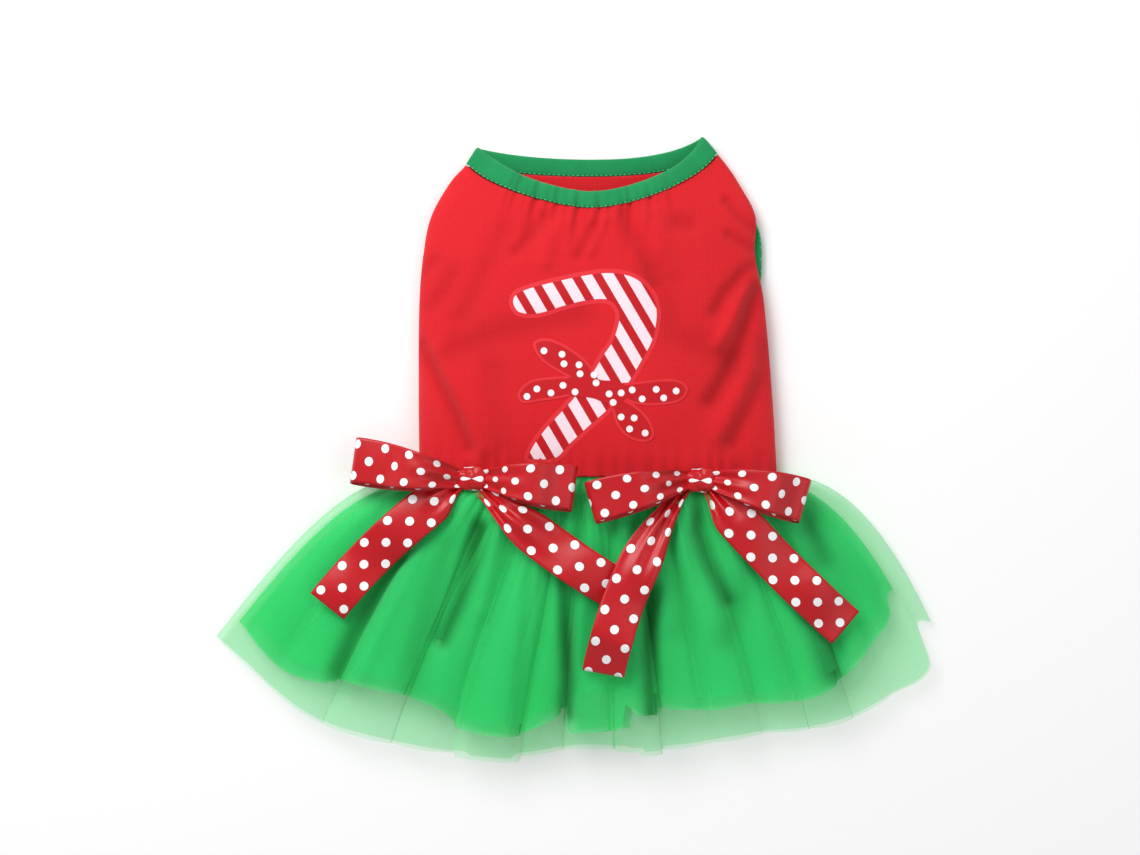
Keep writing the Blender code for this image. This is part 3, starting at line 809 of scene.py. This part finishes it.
def binding_surface(turn, share):
    """A point round the neck binding's section: share runs over its top, round its edge and back below."""
    angle = 2 * math.pi * share
    middle = BINDING_WIDTH / 2 + SEAT / 2
    half = BINDING_WIDTH / 2 - SEAT / 2
    square = squarish(math.cos(angle), 0.55)
    puff = squarish(math.sin(angle), 0.7)
    past_seam = middle + half * square
    inset = BINDING_THICKNESS / 2 - BINDING_PROUD - BINDING_THICKNESS / 2 * puff
    place = bodice_point(turn, neck_seam(turn) + past_seam, inset, detail=False)
    if turn <= 180:
        across = math.cos(math.radians(turn))
        swell = 1.1 * MM * ripple(across * 5, 2.5) + neck_puckers(across, 4 * MM) * 0.6
        place.z += swell * math.sin(math.radians(turn)) + 1.0 * MM * max(0, math.sin(angle))
    return place


# Where the neck binding's stitches run, as shares of the way round its section.
BACK_STITCHES = 0.405
BELLY_STITCHES = 0.595


def make_neck_binding(material, thread):
    """The folded green band at the neck, with its line of stitches."""

    def rule(around, section):
        return binding_surface(round_turn(around), section)

    binding = cloth("neck_binding_rib", 360, 20, rule, closed=True)
    recalculate(binding)
    dress_with(binding, material)
    stand_in(binding, "green_rib", "neck_binding")

    places = []
    walked = STITCH_PITCH
    before = None
    steps = 1800
    for index in range(steps + 1):
        turn = 360 * index / steps
        seam = binding_surface(turn, BACK_STITCHES)
        if before is not None:
            walked += (seam - before).length
        before = seam
        if walked >= STITCH_PITCH and 0 < index < steps:
            line, lift = BACK_STITCHES, 0.25 * MM
            if turn > 180:
                line, lift = BELLY_STITCHES, -0.1 * MM
            here = binding_surface(turn, line)
            ahead = binding_surface(min(turn + 0.4, 360), line)
            places.append((here + Vector((0, 0, lift)), (ahead - here).normalized()))
            walked = 0
    stitches = make_stitches("neck_binding_stitches", places, thread)
    stand_in(stitches, "green_rib")


def make_stitches(name, places, material):
    """Short raised dashes of thread, one at each place, along its direction."""
    deselect()
    bpy.ops.mesh.primitive_uv_sphere_add(segments=8, ring_count=6, radius=0.5)
    bead = bpy.context.object
    points = [vertex.co.copy() for vertex in bead.data.vertices]
    faces = [tuple(face.vertices) for face in bead.data.polygons]
    bpy.data.objects.remove(bead, do_unlink=True)
    all_points, all_faces = [], []
    for place, way in places:
        first = len(all_points)
        turn = way.to_track_quat("X", "Z").to_matrix()
        for point in points:
            sized = Vector((point.x * STITCH_LENGTH, point.y * STITCH_WIDTH, point.z * STITCH_WIDTH))
            all_points.append(place + turn @ sized)
        all_faces += [tuple(first + index for index in face) for face in faces]
    piece = piece_of(name, all_points, all_faces)
    dress_with(piece, material)
    return piece


def make_leg_binding(hole, material, thread):
    """The oval band of a leg hole with its stitches; its outer side stands up a little."""
    centre = leg_hole_centre(hole)
    outward = 1 if hole.across > 0 else -1
    across_radius = LEG_HOLE_WIDTH / 2 - SEAT
    along_radius = LEG_HOLE_LENGTH / 2 - SEAT

    def surface(angle, share):
        section = 2 * math.pi * share
        square = squarish(math.cos(section), 0.55)
        puff = squarish(math.sin(section), 0.7)
        inset = LEG_BINDING_WIDTH * (0.5 - 0.5 * square)
        outer = max(0, math.cos(angle) * outward)
        x = (across_radius - inset) * squarish(math.cos(angle), LEG_HOLE_SQUARE)
        y = (along_radius - inset) * squarish(math.sin(angle), LEG_HOLE_SQUARE)
        z = LEG_BINDING_RISE * hole.rise * ease(outer) + BINDING_THICKNESS * (0.5 + 0.5 * puff)
        return centre + Vector((x, y, z))

    def rule(around, section):
        return surface(2 * math.pi * around, section)

    binding = cloth(hole.name + "_rib", 120, 16, rule, closed=True)
    recalculate(binding)
    dress_with(binding, material)
    stand_in(binding, "green_rib", hole.name)
    places = []
    count = int(math.pi * (across_radius + along_radius) / STITCH_PITCH)
    for index in range(count):
        angle = 2 * math.pi * index / count
        for share, lift in ((0.12, 0.05 * MM), (0.88, 0)):
            here = surface(angle, share)
            ahead = surface(angle + 0.05, share)
            places.append((here + Vector((0, 0, lift + 0.1 * MM)), (ahead - here).normalized()))
    stitches = make_stitches(hole.name + "_stitches", places, thread)
    stand_in(stitches, "green_rib")


# Skirt

def heading(turn, length):
    """A step in plan, turned from straight down the skirt towards +X."""
    return Vector((math.sin(math.radians(turn)), -math.cos(math.radians(turn)))) * length


def hem_step(across, steps):
    """How much further than the hem line the cut edge hangs, in metres."""
    further = 0
    for step in steps:
        further += step.further * ease((across - step.start) / 0.008) * ease((step.end - across) / 0.008)
    return further


def skirt_plan(across, along, notch):
    """Where a line of the skirt's cloth runs in plan, and the direction square to it, towards +X."""
    side = RIGHT_EDGE if across > 0 else LEFT_EDGE
    sign = 1 if across > 0 else -1
    far = abs(across)
    half = CHEST_WIDTH / 2 * (BODICE_SECTIONS[0].right if across > 0 else BODICE_SECTIONS[0].left)
    start = Vector((sign * half * far, -BODICE_HEM - SEAT))
    drop = read(HEM, "drop", across)
    end = Vector((side.reach * HEM_WIDTH * across, -drop * SKIRT_LENGTH))
    if across > RIGHT_CORNER[0].at:
        end += notch * Vector((read(RIGHT_CORNER, "right", across), read(RIGHT_CORNER, "up", across)))
    start_pull = mix(MIDDLE_PULL, side.start_pull, far ** 2) * SKIRT_LENGTH
    end_pull = mix(MIDDLE_PULL, side.end_pull, far ** 2) * SKIRT_LENGTH
    first = start + heading(sign * side.start_turn * far ** 2.5, start_pull)
    second = end - heading(sign * side.end_turn * far ** 1.2, end_pull)
    rest = 1 - along
    place = (start * rest ** 3 + first * 3 * rest ** 2 * along
             + second * 3 * rest * along ** 2 + end * along ** 3)
    run = (first - start) * rest ** 2 + (second - first) * 2 * rest * along + (end - second) * along ** 2
    run.normalize()
    return place, Vector((-run.y, run.x))


def fold_at(across):
    """The fold at a place across the back, the place's share from valley to valley, and its width."""
    for before, fold in zip(FOLDS, FOLDS[1:]):
        if before.until <= across < fold.until:
            width = fold.until - before.until
            return fold, (across - before.until) / width, width
    return None, 0, 0


def fold_shape(across, along, layer):
    """How a fold lifts its cloth and moves it sideways, and how near it is to its valley."""
    fold, share, width = fold_at(across + layer.shift)
    if fold is None:
        return 0, 0, 0
    if share < fold.crest:
        angle = math.pi * share / fold.crest
        span = fold.crest
    else:
        angle = math.pi + math.pi * (share - fold.crest) / (1 - fold.crest)
        span = 1 - fold.crest
    wave = 0.5 - 0.5 * math.cos(angle)
    deep = fold.tuck * ease((along - 0.05) / 0.5)
    side = -deep * width * span * math.sin(angle) / math.pi
    return fold.lift * wave, side, fold.lift * (1 - wave) ** 2


def gathers(across, along, order):
    """The small gathers under the waist seam, which run together further down."""
    wander = 1.3 * ripple(across * 5, along * 1.5, order)
    fine = math.cos(2 * math.pi * (across * 31 + wander)) * math.exp(-along / 0.14)
    broad = math.cos(2 * math.pi * (across * 15 + wander * 0.7 + order * 0.4)) * math.exp(-along / 0.35)
    start = ease(along / 0.03)
    loose = ripple(across * 17, along * 1.1, 5 + order) * ease(along / 0.2)
    crinkle = ripple(across * 44, along * 2.4, 25 + order) * ease(along / 0.3)
    return start * (1.1 * MM * fine + 1.3 * MM * broad) + 2.2 * MM * loose + 0.8 * MM * crinkle


def layer_end(across, layer):
    """How far along its full length a layer's cut edge lies."""
    shorter = layer.shorter - hem_step(across, layer.steps)
    if layer.cuts:
        shorter += read(layer.cuts, "shorter", across)
    return 1 - shorter / SKIRT_LENGTH


def skirt_point(turn, down, layer):
    """A point of one layer of the skirt, down from 0 at the waist to 1 at its own hem; and its painted
    shade.
    """
    across = math.cos(math.radians(turn))
    up = math.sin(math.radians(turn))
    inset = layer.order * LAYER_STEP
    edge = ease((1 - abs(across)) / 0.12)
    notch = 1 if layer.order == 0 else INNER_NOTCH
    wander = 0.006 * ripple(across * 8, 3.3 + layer.order * 2.1, 0.1 * math.copysign(1, up))
    along = down ** 1.15 * (layer_end(across, layer) + wander * edge)
    lift = deep = 0
    if turn <= 180:
        lift, side_step, valley = fold_shape(across, along, layer)
        place, square = skirt_plan(across + side_step * edge, along, notch)
        # Painted shade in the fold valleys.
        deep = 0.3 * valley * ease(along / 0.2) * (1 - 0.6 * along)
    else:
        place, square = skirt_plan(across, along, notch)
    place -= square * layer.order * LAYER_SIDE_STEP * math.copysign(across ** 12, across)
    blend = ease(along / 0.10)
    side = mix(BODICE_SIDE_HEIGHT, read(SKIRT_SECTIONS, "side", along) * SKIRT_SIDE_HEIGHT, blend)
    if turn <= 180:
        waist_top = BODICE_SECTIONS[0].height * BODICE_HEIGHT
        top = mix(waist_top, read(SKIRT_SECTIONS, "height", along) * SKIRT_HEIGHT, blend)
        rise = lift * read(SKIRT_SECTIONS, "fold", along) * FOLD_HEIGHT
        crease, dark = crease_at(place, NET_STRETCHES)
        rise += gathers(across, along, layer.order) + crease * blend
        z = side + (top - side - inset + rise - FOLD_HEIGHT / 3 * blend) * up
        # Painted shade in the creases and under the waist seam, partly the denser colour of the bunched
        # gathers there.
        gathered = math.exp(-along / 0.13) * (0.5 + 0.5 * ripple(across * 24, along, 3.0))
        deep = min(1, deep + 0.85 * dark + 0.55 * gathered)
    else:
        floor = layer.order * LAYER_FLAT_STEP
        crease = 0.5 * MM * (1 + ripple(across * 20, along * 3, 9 + layer.order)) * min(1, -up / ROLL)
        z = floor + belly_height(side - floor, turn) + crease * ease(along / 0.1)
    return Vector((place.x, place.y, z)), deep


def make_skirt_layer(layer, material):
    """One layer of gathered net, open at the waist and at the hem."""
    columns, rows = (900, 66) if layer.order == 0 else (640, 48)

    def rule(around, down):
        return skirt_point(round_turn(around), down, layer)

    skirt = cloth("skirt_" + layer.name + "_net", columns, rows, rule, closed=True, shaded=True)
    skirt.data.shade_smooth()
    folded = [0.62 + 0.38 / max(abs(vertex.normal.z), 0.4) for vertex in skirt.data.vertices]
    skirt.data.attributes.new("folded", "FLOAT", "POINT").data.foreach_set("value", folded)
    dress_with(skirt, material)
    stand_in(skirt, "green_net", "skirt_" + layer.name + "_layer")
    return skirt


# Bows

class Ground:
    """What the ribbons rest on: the highest surface under any place in plan."""

    def __init__(self):
        self.trees = []

    def add(self, piece):
        self.trees.append(BVHTree.FromObject(piece, bpy.context.evaluated_depsgraph_get()))

    def height(self, x, y, around):
        top = 0
        steps = [index / 5 for index in range(-5, 6)]
        for tree in self.trees:
            for right in steps:
                for up in steps:
                    start = Vector((x + right * around, y + up * around, 0.2))
                    hit = tree.ray_cast(start, Vector((0, 0, -1)))[0]
                    if hit is not None:
                        top = max(top, hit.z)
        return top


def compass(turn, length):
    """A step in plan in a direction counted from +X towards +Y."""
    return Vector((math.cos(math.radians(turn)), math.sin(math.radians(turn)))) * length


def bow_centre(bow):
    """Where a bow's knot sits in plan."""
    return Vector((bow.across * CHEST_WIDTH / 2, -bow.below * RIBBON_WIDTH))


def strip_line(strip, length, rows):
    """The middle line of a strip in plan, with the direction square to it at each row."""
    place = bow_centre(strip.bow) + Vector((strip.across * KNOT_LENGTH, -strip.below * KNOT_WIDTH))
    place -= compass(strip.start_turn, INTO_KNOT)
    length += INTO_KNOT
    line = []
    for row in range(rows + 1):
        turn = mix(strip.start_turn, strip.end_turn, row / rows)
        line.append((place.copy(), compass(turn + 90, 1)))
        place += compass(turn, length / rows)
    return line


def smooth_heights(heights, passes):
    """Heights along a ribbon with their steps rounded, never below the ground."""
    smooth = list(heights)
    for step in range(passes):
        before = list(smooth)
        for index in range(1, len(smooth) - 1):
            average = (before[index - 1] + before[index] * 2 + before[index + 1]) / 4
            smooth[index] = max(average, heights[index])
    return smooth


def sample(values, share):
    """A value between the entries of an evenly spaced list."""
    place = min(max(share, 0), 1) * (len(values) - 1)
    low = min(int(place), len(values) - 2)
    return mix(values[low], values[low + 1], place - low)


def scale_uv(piece, width, length):
    """Turns a ribbon's UV map from shares into metres across and along it."""
    for corner in piece.data.uv_layers.active.data:
        corner.uv = ((corner.uv[0] - 0.5) * width, corner.uv[1] * length)


def make_tail(strip, base, ground, material):
    """A ribbon end that comes out of its knot, lies over the skirt and bridges its folds."""
    length = strip.length * TAIL_LENGTH
    rows = 60
    line = strip_line(strip, length, rows)
    coarse = [ground.height(*line[row][0], RIBBON_WIDTH * 0.5) for row in range(0, rows + 1, 2)]
    for index in range(len(coarse)):
        coarse[index] = mix(base + TAIL_IN_KNOT, coarse[index], ease(index / len(coarse) / 0.16))
    heights = smooth_heights(coarse, 24)

    def rule(across, along):
        row = min(int(along * rows + 0.5), rows)
        place, square = line[row]
        opened = ease(along / strip.spread)
        width = RIBBON_WIDTH * mix(0.34, strip.end_width, opened)
        side = across - 0.5
        at = place + square * width * side
        z = sample(heights, along) + SEAT
        gathered = 1 - ease(along / (1.5 * strip.spread))
        pleat = 2 * MM * math.cos(2 * math.pi * (2.2 * side + 0.2)) * gathered
        crown = 0.05 * RIBBON_WIDTH * (1 - (2 * side) ** 2) * opened
        metres = along * length
        wave = math.sin(2 * math.pi * metres / TAIL_WAVE + strip.start_turn) + 1
        tilt = math.sin(2 * math.pi * metres / (1.3 * TAIL_WAVE) + strip.end_turn) * 2 * side + 1
        sway = (1.3 * MM * wave + 1.5 * MM * tilt) * ease(along / 0.25)
        curl = 0.5 * MM * ripple(at.x * 60, at.y * 60, 2.0)
        clear = 0.5 * MM + 1.5 * MM * (1 - opened)
        return Vector((at.x, at.y, z + crown + pleat + sway + curl + clear))

    name = strip.bow.name + "_" + strip.name
    tail = cloth(name + "_satin", 16, rows, rule)
    scale_uv(tail, RIBBON_WIDTH, length)
    dress_with(tail, material)
    finish_modifier(tail, "SOLIDIFY", thickness=SATIN, offset=1)
    stand_in(tail, "red_satin", name)
    return tail


def make_loop(strip, base, ground, material):
    """A hollow ribbon loop: out from the knot below, round its end, and back above."""
    base += LOOP_IN_KNOT
    end_round = 0.4 * LOOP_HEIGHT
    rows = 24
    length = strip.length * LOOP_LENGTH
    line = strip_line(strip, length - end_round, rows)
    lower, upper = [], []
    for row, (place, square) in enumerate(line):
        share = row / rows
        resting = ground.height(*place, RIBBON_WIDTH * 0.5) + SEAT
        z = mix(base, max(resting, base - LOOP_DROOP * share ** 2), ease((share - 0.08) / 0.3))
        open_height = mix(1.5 * MM, LOOP_HEIGHT, math.sin(math.pi / 2 * min(1, share / 0.7)))
        width = RIBBON_WIDTH * mix(0.36, strip.end_width, math.sin(math.pi / 2 * share) ** 0.8)
        down = square if square.y < 0 else -square
        lower.append([place + down * LOOP_SKEW * share * (1.5 - share), square, width, z])
        upper.append([place, square, width, z + open_height])
    for run in (lower, upper):
        for step in range(8):
            levels = [row[3] for row in run]
            for index in range(1, len(run) - 1):
                run[index][3] = (levels[index - 1] + 2 * levels[index] + levels[index + 1]) / 4
    turn_out = (line[-1][0] - line[-2][0]).normalized()
    path = list(lower)
    low, high = lower[-1], upper[-1]
    for step in range(1, 12):
        angle = math.radians(-90 + 15 * step)
        share = (math.sin(angle) + 1) / 2
        out = turn_out * end_round * math.cos(angle)
        path.append([mix(low[0], high[0], share) + out, low[1], low[2], mix(low[3], high[3], share)])
    path += reversed(upper)
    last = len(path) - 1
    runs = [0]
    for before, after in zip(path, path[1:]):
        runs.append(runs[-1] + math.hypot((after[0] - before[0]).length, after[3] - before[3]))

    def rule(across, along):
        place, square, width, z = path[int(along * last + 0.5)]
        side = across - 0.5
        at = place + square * width * side
        near_knot = 1 - ease(min(along, 1 - along) / 0.24)
        in_knot = 0.4 + 0.6 * ease(min(along, 1 - along) / 0.08)
        pleat = math.cos(2 * math.pi * (2.0 * side + 0.15)) * 1.7 * MM * near_knot * in_knot
        bulge = 1.2 * MM * math.sin(math.pi * along) * ripple(at.x * 45, at.y * 45, z * 60)
        return Vector((at.x, at.y, z + pleat + bulge))

    name = strip.bow.name + "_" + strip.name
    loop = cloth(name + "_satin", 16, last, rule)
    for corner in loop.data.uv_layers.active.data:
        corner.uv = ((corner.uv[0] - 0.5) * RIBBON_WIDTH, sample(runs, corner.uv[1]))
    dress_with(loop, material)
    finish_modifier(loop, "SOLIDIFY", thickness=SATIN, offset=-1)
    stand_in(loop, "red_satin", name)


def make_knot(bow, base, material):
    """The small crumpled knot between the loops."""
    centre = bow_centre(bow)
    deselect()
    bpy.ops.mesh.primitive_uv_sphere_add(segments=64, ring_count=32, radius=1)
    knot = bpy.context.object
    knot.name = bow.name + "_knot_satin"
    for vertex in knot.data.vertices:
        x, y, z = vertex.co
        square = 1 / max(abs(x) ** 3 + abs(y) ** 3 + abs(z) ** 3, 1e-9) ** (1 / 3)
        angle = math.atan2(y, z)
        crumple = abs(ripple(x * 2.2 + y, y * 2.2 + 5, z * 2.2))
        rib = 1 + 0.08 * math.cos(4 * angle + 2.2 * x) - 0.55 * max(0, 0.18 - crumple)
        pinch = 1 - 0.10 * math.cos(3 * x + 0.6)
        vertex.co.x = centre.x + x * square * KNOT_LENGTH / 2
        vertex.co.y = centre.y + y * square * rib * pinch * KNOT_WIDTH / 2
        vertex.co.z = base + (1 + z * square * rib / 1.1) * KNOT_HEIGHT / 2
    scale_uv(knot, 34 * MM, 20 * MM)
    dress_with(knot, material)
    stand_in(knot, "red_satin", bow.name + "_knot")


# Print on the back

# The cane's stripes: the angle they are counted at, their pitch, where the first starts and how much of
# each pitch is white.
STRIPE_LEAN = 59.5
STRIPE_PITCH = 11.17 * MM
STRIPE_START = 0.615
WHITE_SHARE = 0.56
# How thick each film of ink lies on the one below it.
INK_RISE = 0.12 * MM

# Places in the photo's frame, in pixels, that the print's outlines run through.
CANE_OUTLINE = [
    (509, 304), (512, 293), (524, 286), (549, 279), (587, 271), (612, 269), (633, 273), (648, 283),
    (658, 297.5), (661, 317), (656, 342), (645, 363), (630, 388), (612, 411), (593, 428), (572, 447.5),
    (556.5, 462), (526, 462), (527.5, 447.5), (540, 429), (553.5, 414), (570, 396), (590, 369), (599, 354),
    (609, 339), (615, 319), (613, 310), (605.5, 304), (587, 305), (566, 310), (538, 318), (517, 316),
]
PETALS = [
    [(600, 388), (590, 365), (572, 349.5), (553.5, 340), (540, 339), (533, 345), (541, 360), (556.5, 371),
     (578, 382)],
    [(598, 388), (575, 377), (541, 378), (526, 383), (517.5, 394), (523, 403), (541, 401), (566, 397)],
    [(608, 386), (635, 382), (664, 379), (681, 381), (688, 390), (680, 401), (662, 405), (641, 405),
     (624, 400)],
    [(602, 392), (612, 411), (616, 424), (627, 437), (643, 442), (653, 438), (653, 428), (645, 414),
     (628, 401)],
]
PRINT_MIDDLE = [
    (586, 374), (600, 380), (620, 382), (628, 392), (622, 402), (608, 404), (592, 398), (572, 396),
    (562, 388), (570, 378),
]
PRINT_DOTS = [
    (544, 351), (562, 354.5), (564, 364), (579, 365), (580, 374), (594, 375), (596, 383), (537, 389),
    (551, 393), (527, 396.5), (563, 385.5), (575, 392), (609, 394), (621, 393), (613, 402.5), (632, 390),
    (656, 389.5), (642, 399), (663.5, 398), (676, 391), (621, 417), (634, 418), (629.5, 429), (645, 433),
]
PRINT_DOT_RADIUS = 2.0 * MM
PRINT_BAND = 2.6 * MM


def round_outline(points, steps=5):
    """A closed outline through points, with its corners rounded by the Catmull-Rom rule."""
    count = len(points)
    outline = []
    for index in range(count):
        before, start, end, after = (points[(index + step) % count] for step in (-1, 0, 1, 2))
        for step in range(steps):
            share = step / steps
            outline.append(0.5 * (2 * start + (end - before) * share
                                  + (2 * before - 5 * start + 4 * end - after) * share ** 2
                                  + (3 * start - 3 * end + after - before) * share ** 3))
    return outline


def shrink(outline, distance):
    """An outline moved inwards by a distance, square to itself."""
    area = sum(a.x * b.y - b.x * a.y for a, b in zip(outline, outline[1:] + outline[:1]))
    sign = 1 if area > 0 else -1
    count = len(outline)
    moved = []
    for index in range(count):
        way = (outline[(index + 1) % count] - outline[index - 1]).normalized()
        moved.append(outline[index] + Vector((-way.y, way.x)) * distance * sign)
    return moved


def inside(point, outline):
    """Whether a point in plan lies inside an outline."""
    hit = False
    for start, end in zip(outline, outline[1:] + outline[:1]):
        if (start.y > point.y) != (end.y > point.y):
            if point.x < (end.x - start.x) * (point.y - start.y) / (end.y - start.y) + start.x:
                hit = not hit
    return hit


def transfer(name, outlines, rise, skin, material, step=2.5 * MM):
    """A thin film of ink inside the outlines, laid on the bodice's back."""
    all_points, all_faces = [], []
    for outline in outlines:
        points = list(outline)
        low_x, high_x = min(p.x for p in outline), max(p.x for p in outline)
        low_y, high_y = min(p.y for p in outline), max(p.y for p in outline)
        inner = shrink(outline, step * 0.4)
        for column in range(int((high_x - low_x) / step)):
            for row in range(int((high_y - low_y) / step)):
                point = Vector((low_x + (column + 0.5) * step, low_y + (row + 0.5) * step))
                if inside(point, inner):
                    points.append(point)
        edges = [(index, (index + 1) % len(outline)) for index in range(len(outline))]
        found = delaunay_2d_cdt(points, edges, [], 1, 1e-7)
        first = len(all_points)
        for point in found[0]:
            hit = skin.ray_cast(Vector((point.x, point.y, 0.2)), Vector((0, 0, -1)))[0]
            all_points.append(hit + Vector((0, 0, rise)))
        for face in found[2]:
            all_faces.append(tuple(first + index for index in face))
    film = piece_of(name, all_points, all_faces)
    with open_mesh(film) as build:
        build.normal_update()
        bmesh.ops.reverse_faces(build, faces=[face for face in build.faces if face.normal.z < 0])
    dress_with(film, material)
    stand_in(film, "red_jersey")


def circle(centre, radius, count=20):
    """A round outline."""
    return [centre + compass(360 * index / count, radius) for index in range(count)]


def make_print(bodice):
    """A candy cane with a spotted bow: a traditional figure, printed on the back."""
    skin = BVHTree.FromObject(bodice, bpy.context.evaluated_depsgraph_get())
    band = ink_finish("print band", colour(226, 44, 54))
    stripes = ink_finish("print stripes", colour(247, 222, 231), striped=True)
    petal = ink_finish("print bow red", colour(196, 16, 26))
    dots = ink_finish("print dots", colour(246, 240, 244))
    cane = round_outline([on_back(point) for point in CANE_OUTLINE])
    petals = [round_outline([on_back(point) for point in points]) for points in PETALS]
    transfer("print_cane_band", [cane], INK_RISE, skin, band)
    transfer("print_cane_stripes", [shrink(cane, PRINT_BAND)], 2 * INK_RISE, skin, stripes)
    transfer("print_bow_band", petals, 3 * INK_RISE, skin, band)
    middle = round_outline([on_back(point) for point in PRINT_MIDDLE])
    transfer("print_bow_petals", [shrink(outline, PRINT_BAND * 0.6) for outline in petals],
             4 * INK_RISE, skin, petal)
    transfer("print_bow_middle", [middle], 4.5 * INK_RISE, skin, petal)
    spots = [circle(on_back(point), PRINT_DOT_RADIUS) for point in PRINT_DOTS]
    transfer("print_bow_dots", spots, 5 * INK_RISE, skin, dots)


# Studio

Lamp = namedtuple("Lamp", "name place size power")
LAMPS = [
    Lamp("key", (-0.75, 1.0, 1.2), 1.0, 26),
    Lamp("fill", (1.2, -0.3, 1.6), 1.6, 8),
]
SKY_STRENGTH = 0.45
PHOTO_SIZE = (1140, 855)
LENS = 85
# How high over the floor the photo's scale holds.
DRESS_HEIGHT = 25 * MM


def make_studio():
    """A white floor, soft light from above and all round, and a camera that looks straight down."""
    deselect()
    bpy.ops.mesh.primitive_plane_add(size=6)
    floor = bpy.context.object
    floor.name = "floor"
    for vertex in floor.data.vertices:
        vertex.co.z = -0.3 * MM
    floor.data.materials.append(floor_finish())

    scene = bpy.context.scene
    scene.view_settings.view_transform = "Standard"
    scene.cycles.transparent_max_bounces = 32
    world = bpy.data.worlds.new("studio")
    world.use_nodes = True
    background = world.node_tree.nodes["Background"]
    background.inputs["Color"].default_value = (1, 1, 1, 1)
    background.inputs["Strength"].default_value = SKY_STRENGTH
    scene.world = world

    for row in LAMPS:
        light = bpy.data.lights.new(row.name, "AREA")
        light.size = row.size
        light.energy = row.power
        lamp = bpy.data.objects.new(row.name, light)
        lamp.location = row.place
        lamp.rotation_euler = (-Vector(row.place)).to_track_quat("-Z", "Y").to_euler()
        scene.collection.objects.link(lamp)

    middle = on_back([side / 2 for side in PHOTO_SIZE])
    camera_data = bpy.data.cameras.new("camera")
    camera_data.lens = LENS
    camera = bpy.data.objects.new("camera", camera_data)
    away = PHOTO_SIZE[0] * PIXEL * LENS / camera_data.sensor_width
    camera.location = (middle.x, middle.y, away + DRESS_HEIGHT)
    scene.collection.objects.link(camera)
    scene.camera = camera


def main():
    make_studio()
    jersey = jersey_finish()
    rib = rib_finish()
    thread = thread_finish()
    satin = satin_finish("red satin")

    bodice = make_bodice(jersey)
    make_print(bodice)
    make_neck_binding(rib, thread)
    for hole in LEG_HOLES:
        make_leg_binding(hole, rib, thread)

    ground = Ground()
    ground.add(bodice)
    for layer in LAYERS:
        skirt = make_skirt_layer(layer, net_finish(layer))
        if layer.order == 0:
            ground.add(skirt)

    bases = {bow: ground.height(*bow_centre(bow), KNOT_WIDTH / 5) + SEAT for bow in (LEFT_BOW, RIGHT_BOW)}
    for strip in TAILS:
        ground.add(make_tail(strip, bases[strip.bow], ground, satin))
    for strip in LOOPS:
        make_loop(strip, bases[strip.bow], ground, satin)
    for bow, base in bases.items():
        make_knot(bow, base, satin)


main()
